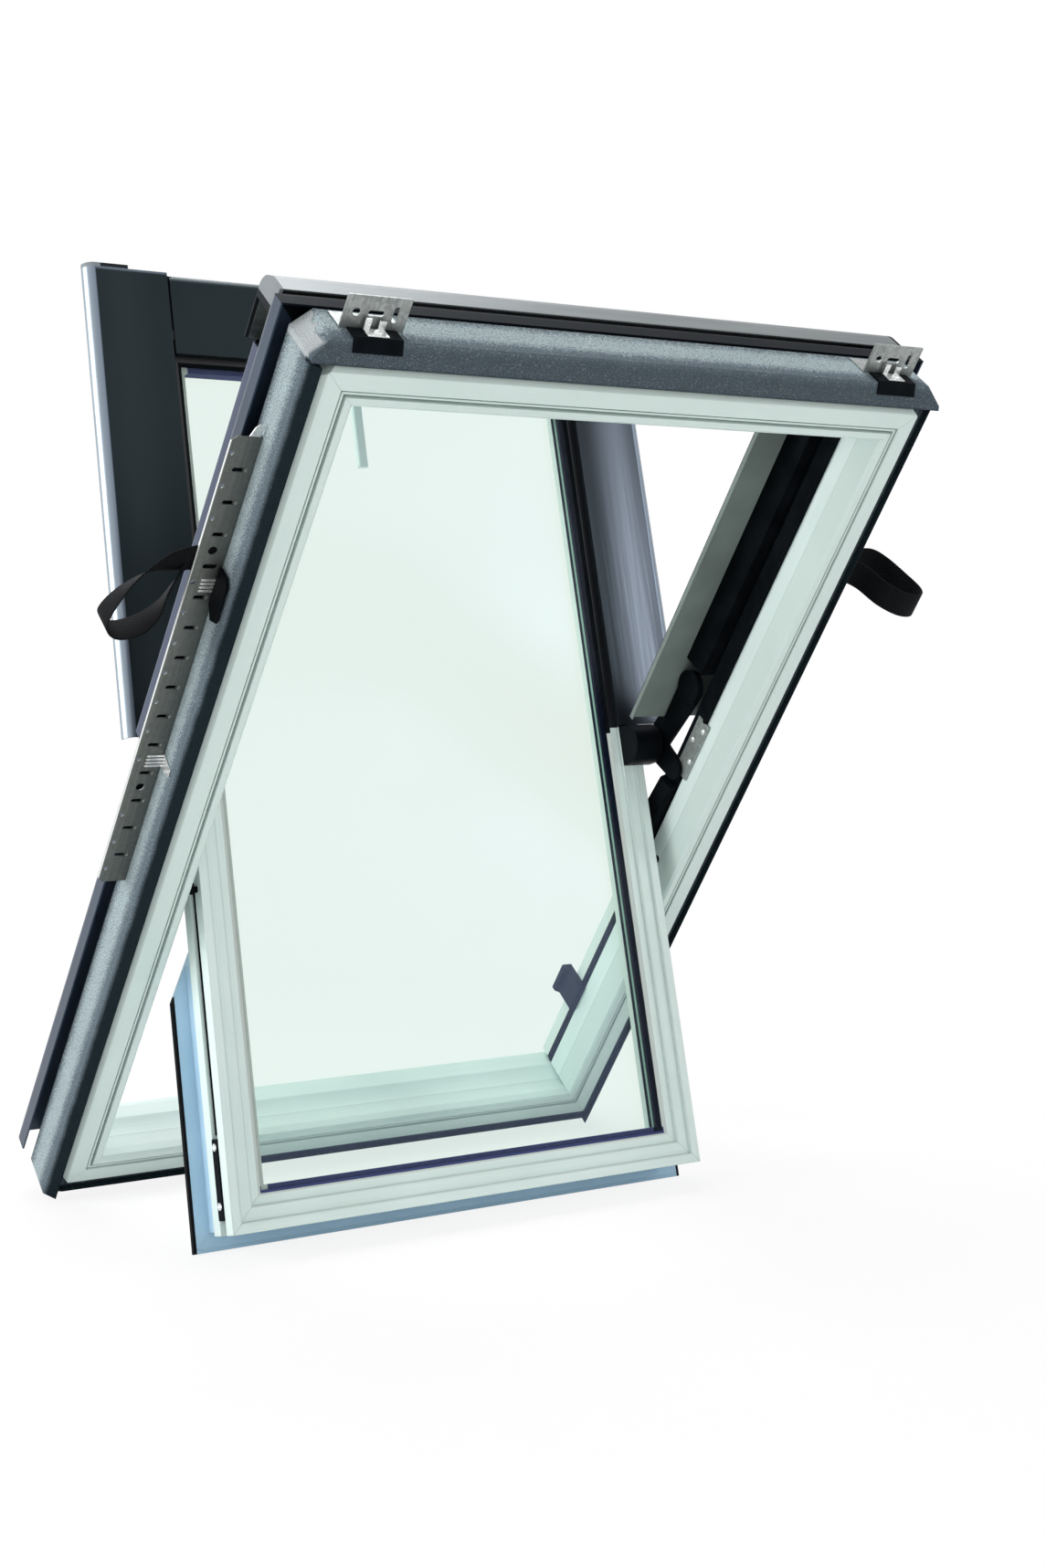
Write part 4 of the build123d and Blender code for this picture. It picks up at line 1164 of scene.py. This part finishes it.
@dataclass
class CarryingStrap:
    """Loop of webbing behind a fixing rail; each stop on its route has a point and the way its width lies."""

    side: str
    stops: tuple[tuple[Point, Point], ...]
    width: float = 34.0
    thickness: float = 1.8
    samples: int = 88

    @classmethod
    def hanging(cls) -> "CarryingStrap":
        """The left loop, which falls to its tip and turns over on the way."""
        flat, edge = (0.0, 0.0, -1.0), (0.0, 1.0, 0.0)
        return cls("left", (
            ((-412.0, 50.0, 342.0), flat),
            ((-436.0, 50.0, 341.0), (0.0, 0.05, -1.0)),
            ((-464.0, 50.0, 335.0), (0.15, 0.35, -0.92)),
            ((-490.0, 50.0, 319.0), (0.39, 0.76, -0.52)),
            ((-513.0, 49.0, 291.0), (0.2, 0.95, -0.2)),
            ((-523.0, 48.0, 263.0), edge),
            ((-508.0, 48.0, 248.0), edge),
            ((-482.0, 49.0, 254.0), edge),
            ((-463.0, 52.0, 273.0), (0.3, 0.95, 0.0)),
            ((-452.0, 57.0, 300.0), (0.52, 0.84, -0.15)),
            ((-438.0, 60.0, 326.0), (0.3, 0.5, -0.8)),
            ((-412.0, 59.0, 338.0), flat),
        ))

    @classmethod
    def open_loop(cls) -> "CarryingStrap":
        """The right loop, which stands open towards the room."""
        upright = (0.0, 0.0, 1.0)
        route = (
            (412.0, 51.0, 342.0), (440.0, 51.0, 342.0), (458.0, 38.0, 341.0), (470.0, 6.0, 339.0),
            (490.0, -13.0, 337.0), (514.0, -13.0, 335.0), (525.0, 2.0, 335.0), (521.0, 32.0, 336.0),
            (512.0, 62.0, 338.0), (497.0, 78.0, 340.0), (470.0, 76.0, 341.0), (440.0, 66.0, 342.0),
            (412.0, 60.0, 342.0),
        )
        return cls("right", tuple((point, upright) for point in route))

    def spline(self, share: float) -> tuple[Vector, Vector, Vector]:
        """Point, direction and width direction on the route.

        Args:
            share: place on the route from 0 to 1.

        Returns:
            The point in window millimetres, and the two directions, square to each other.
        """
        last = len(self.stops) - 1
        place = min(share * last, last - 1e-6)
        index = int(place)
        part = place - index
        picks = [self.stops[min(max(index + offset, 0), last)] for offset in (-1, 0, 1, 2)]
        first, second, third, fourth = (Vector(point) for point, _ in picks)
        curve = (third - first) * 0.5
        bend = first - second * 2.5 + third * 2.0 - fourth * 0.5
        cubic = (fourth - first) * 0.5 + (second - third) * 1.5
        point = second + curve * part + bend * part ** 2 + cubic * part ** 3
        along = (curve + bend * 2.0 * part + cubic * 3.0 * part ** 2).normalized()
        across = Vector(picks[1][1]).lerp(Vector(picks[2][1]), part)
        return point, along, (across - along * across.dot(along)).normalized()

    def build(self) -> None:
        """Sweep the webbing's flat section along the route and lay its weave."""
        mesh = bmesh.new()
        layer = mesh.loops.layers.uv.new("strap")
        half, skin = self.width / 2.0, self.thickness / 2.0
        section = [(-half, -skin * 0.4), (-half * 0.96, -skin), (half * 0.96, -skin), (half, -skin * 0.4)]
        section += [(half, skin * 0.4), (half * 0.96, skin), (-half * 0.96, skin), (-half, skin * 0.4)]
        rings, marks = [], []
        travelled, before = 0.0, None
        for step in range(self.samples + 1):
            point, along, across = self.spline(step / self.samples)
            travelled += (point - before).length if before else 0.0
            before = point
            outward = across.cross(along)
            rings.append([mesh.verts.new(point + across * one + outward * two) for one, two in section])
            marks.append([(travelled * MILLIMETRE, one * MILLIMETRE) for one, _ in section])
        for near, far, first, second in zip(rings, rings[1:], marks, marks[1:]):
            for index in range(len(section)):
                after = (index + 1) % len(section)
                face = mesh.faces.new((near[index], near[after], far[after], far[index]))
                face.smooth = True
                places = (first[index], first[after], second[after], second[index])
                for loop, mark in zip(face.loops, places):
                    loop[layer].uv = mark
        for ring in (rings[0], rings[-1]):
            mesh.faces.new(ring)
        strap = placed(mesh, f"{self.side}_webbing", Space.FRAME, WEBBING, "webbing")
        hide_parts(f"{self.side}_strap")


@dataclass
class Sash:
    """White sash with its glazing, cladding, inner flange, hinge arms and hardware."""

    frame: dict[str, Any]
    stile_face: float = 324.0
    channel_front: float = 84.0
    channel_back: float = 100.0
    channel_floor: float = 316.0
    strip_thickness: float = 9.5
    seal_low: float = 140.0
    strip_low: float = 432.0
    strip_high: float = 522.0
    strip_screw: Stations = ((0.0, 4.6), (0.9, 4.4), (1.3, 3.0), (1.0, 1.8), (0.4, 0.5))
    joint_place: float = 291.5
    joint_half: float = 5.0
    cladding_depth: float = 118.0
    cladding_end: float = -617.0
    sash_end: float = -541.0
    knob_height: float = 150.0
    knob_depth: float = 106.0
    knob_turning: Stations = ((0.2, 4.0), (4.0, 4.0), (4.6, 5.6), (8.4, 5.6), (9.6, 4.4), (9.8, 1.0))

    def dress(self) -> None:
        """Give every node of the sash its finish."""
        finishes = {
            SASH_ACROSS: ("sash_top_rail", "sash_bottom_rail"),
            SASH_SLOPE: ("sash_left_stile", "sash_right_stile"),
            OUTER_GLASS: ("outer_pane",),
            INNER_GLASS: ("inner_pane",),
            SPACER: ("glass_spacer",),
            GASKET: ("glazing_gasket",),
            BEAD: ("flange_bead",),
            SASH_CLADDING: ("sash_left_cladding", "sash_bottom_cladding"),
            LIT_CLADDING: ("sash_right_cladding",),
            END_CAP: ("sash_left_end_cap",),
            BLACK: ("sash_right_end_cap",),
            FLANGE: ("left_flange", "top_flange", "right_flange"),
            HINGE_BLACK: ("left_hinge_arm", "right_hinge_arm"),
            WHITE_HANDLE: ("handle",),
        }
        for finish, names in finishes.items():
            dress(self.frame, finish, Space.SASH, *names)

    def lock_strip(self, side: str, sign: float) -> None:
        """Black lock strip in the end of a stile's channel, with its two screws and the seal below it."""
        strip = Piece(f"{side}_lock_strip", Space.SASH)
        bottom, top = self.channel_floor + 0.3, self.channel_floor + self.strip_thickness
        front, back = self.channel_front + 0.8, self.channel_back - 0.8
        outline = mirrored(sign, (bottom, front), (top, front), (top, back), (bottom, back))
        strip.prism(outline, Axis.SLOPE, self.strip_low, self.strip_high)
        strip.build(BLACK, "black_plastic", 0.8)
        seal = Piece(f"{side}_channel_seal", Space.SASH)
        outline = mirrored(
            sign, (bottom, front), (bottom + 3.0, front), (bottom + 4.2, front + 1.2),
            (bottom + 3.0, front + 2.4), (bottom, front + 2.4),
        )
        seal.prism(outline, Axis.SLOPE, self.seal_low, self.strip_low - 4.0)
        seal.build(BLACK, "seal", 0.3)
        screws = Piece(f"{side}_strip_screws", Space.SASH)
        middle = (self.channel_front + self.channel_back) / 2.0
        for height in (self.strip_low + 9.0, self.strip_high - 16.0):
            screws.rod(Axis.ACROSS, (sign * top, middle, height), mirrored(sign, *self.strip_screw))
        screws.build(BRIGHT, "galvanised_steel", 0.0)

    def joint_strip(self, side: str, sign: float) -> None:
        """Black strip behind the joint of two claddings, where they pass the end of the sash."""
        strip = Piece(f"{side}_joint_strip", Space.SASH)
        near, far = self.joint_place - self.joint_half, self.joint_place + self.joint_half
        back = self.cladding_depth - 0.3
        outline = mirrored(sign, (near, back - 1.5), (far, back - 1.5), (far, back), (near, back))
        strip.prism(outline, Axis.SLOPE, self.cladding_end + 4.0, self.sash_end - 0.5)
        strip.build(BLACK, "black_plastic", 0.3)

    def knob(self, side: str, sign: float) -> None:
        """Small black stop knob on the side of a stile."""
        knob = Piece(f"{side}_stop_knob", Space.SASH)
        centre = (sign * self.stile_face, self.knob_depth, self.knob_height)
        knob.rod(Axis.ACROSS, centre, mirrored(sign, *self.knob_turning))
        knob.build(BLACK, "black_plastic", 0.0)

    def build(self) -> None:
        """Dress the nodes and add the hardware of both stiles."""
        self.dress()
        for side, sign in SIDES.items():
            self.lock_strip(side, sign)
            self.joint_strip(side, sign)
            self.knob(side, sign)


@dataclass
class Studio:
    """Floor, white surround, soft lights and the camera."""

    lens: float = 49.6823
    shift: float = -0.1389
    spot: tuple[float, float, float] = (-0.92424, -2.1648, 0.07365)
    right: tuple[float, float, float] = (0.845941, -0.533196, 0.009228)
    upward: tuple[float, float, float] = (-0.017956, -0.011185, 0.999776)
    backward: tuple[float, float, float] = (-0.532974, -0.845918, -0.019036)
    aim: tuple[float, float, float] = (0.42, 0.05, -0.1)
    fill: float = 0.38
    floor_near: float = 0.9
    floor_far: float = 1.9
    floor_half: float = 40.0
    floor_grey: Colour = (0.86, 0.86, 0.86)
    floor_glow: float = 0.86
    sensor: float = 36.0
    sight: tuple[float, float] = (0.05, 200.0)
    lights: dict[str, tuple[tuple[float, float, float], float, float]] = field(default_factory=lambda: {
        "left_softbox": ((-3.4, 0.8, 0.9), 2.4, 116.0),
        "front_softbox": ((-0.6, -4.2, -0.1), 2.4, 58.0),
        "top_softbox": ((0.4, 0.9, 3.2), 2.6, 110.0),
        "right_strip": ((3.1, -2.6, 1.5), 1.0, 20.0),
        "back_softbox": ((0.8, 3.6, 1.6), 2.6, 26.0),
    })

    def floor(self) -> None:
        """Pale floor under the window that keeps a faint shadow."""
        low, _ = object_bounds()
        size = self.floor_half
        data = bpy.data.meshes.new("floor")
        corners = [(-size, -size, low.z), (size, -size, low.z), (size, size, low.z), (-size, size, low.z)]
        data.from_pydata(corners, [], [(0, 1, 2, 3)])
        floor = bpy.data.objects.new("floor", data)
        bpy.context.scene.collection.objects.link(floor)
        shader = Shader("pale_floor", Space.FRAME)
        kinds = ("Camera", "Glossy", "Transmission")
        camera, glossy, through = (
            shader.add("ShaderNodeLightPath", {}, {}, f"Is {kind} Ray") for kind in kinds
        )
        place = shader.add("ShaderNodeNewGeometry", {}, {}, "Position")
        away = shader.add("ShaderNodeVectorMath", {"operation": "DISTANCE"}, {0: place, 1: self.aim}, "Value")
        watched = camera.top(glossy).top(through)
        seen = watched * away.ramp(self.floor_near, self.floor_far, self.floor_glow, 1.0)
        matt = shader.add("ShaderNodeBsdfDiffuse", {}, {"Color": self.floor_grey})
        white = shader.add("ShaderNodeEmission", {}, {"Color": (1.0, 1.0, 1.0), "Strength": 1.0})
        mix = shader.add("ShaderNodeMixShader", {}, {0: seen, 1: matt, 2: white})
        data.materials.append(shader.done(mix))
        floor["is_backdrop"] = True

    def surround(self) -> None:
        """White world where it is seen, and an even soft light elsewhere."""
        world = bpy.data.worlds.new("surround")
        bpy.context.scene.world = world
        world.use_nodes = True
        tree = world.node_tree
        tree.nodes.clear()
        output = tree.nodes.new("ShaderNodeOutputWorld")
        path = tree.nodes.new("ShaderNodeLightPath")
        seen = path.outputs["Is Camera Ray"]
        for name in ("Is Glossy Ray", "Is Transmission Ray"):
            either = tree.nodes.new("ShaderNodeMath")
            either.operation = "MAXIMUM"
            tree.links.new(seen, either.inputs[0])
            tree.links.new(path.outputs[name], either.inputs[1])
            seen = either.outputs[0]
        mix = tree.nodes.new("ShaderNodeMixShader")
        tree.links.new(seen, mix.inputs[0])
        for index, strength in ((1, self.fill), (2, 1.0)):
            background = tree.nodes.new("ShaderNodeBackground")
            background.inputs["Strength"].default_value = strength
            background.inputs["Color"].default_value = (1.0, 1.0, 1.0, 1.0)
            tree.links.new(background.outputs[0], mix.inputs[index])
        tree.links.new(mix.outputs[0], output.inputs["Surface"])

    def lamps(self) -> None:
        """Soft boxes round the window."""
        for name, (spot, size, power) in self.lights.items():
            data = bpy.data.lights.new(name, "AREA")
            data.size = size
            data.energy = power
            lamp = bpy.data.objects.new(name, data)
            lamp.location = spot
            towards = Vector(self.aim) - Vector(spot)
            lamp.rotation_euler = towards.to_track_quat("-Z", "Y").to_euler()
            lamp.visible_camera = False
            bpy.context.scene.collection.objects.link(lamp)

    def camera(self) -> None:
        """Camera at the photograph's viewing angle."""
        data = bpy.data.cameras.new("camera")
        data.sensor_fit = "AUTO"
        data.sensor_width = self.sensor
        data.lens = self.lens
        data.shift_y = self.shift
        data.clip_start, data.clip_end = self.sight
        camera = bpy.data.objects.new("camera", data)
        turn = Matrix((self.right, self.upward, self.backward)).transposed()
        camera.matrix_world = Matrix.Translation(self.spot) @ turn.to_4x4()
        bpy.context.scene.collection.objects.link(camera)
        bpy.context.scene.camera = camera

    def build(self) -> None:
        """Set up the stage."""
        bpy.context.scene.view_settings.view_transform = "Standard"
        self.floor()
        self.surround()
        self.lamps()
        self.camera()


def main() -> None:
    """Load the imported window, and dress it."""
    logging.basicConfig(level=logging.INFO, format="%(message)s")
    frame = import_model()
    FixedFrame(frame).build()
    CarryingStrap.hanging().build()
    CarryingStrap.open_loop().build()
    Sash(frame).build()
    Studio().build()
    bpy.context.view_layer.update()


if __name__ == "__main__":
    main()
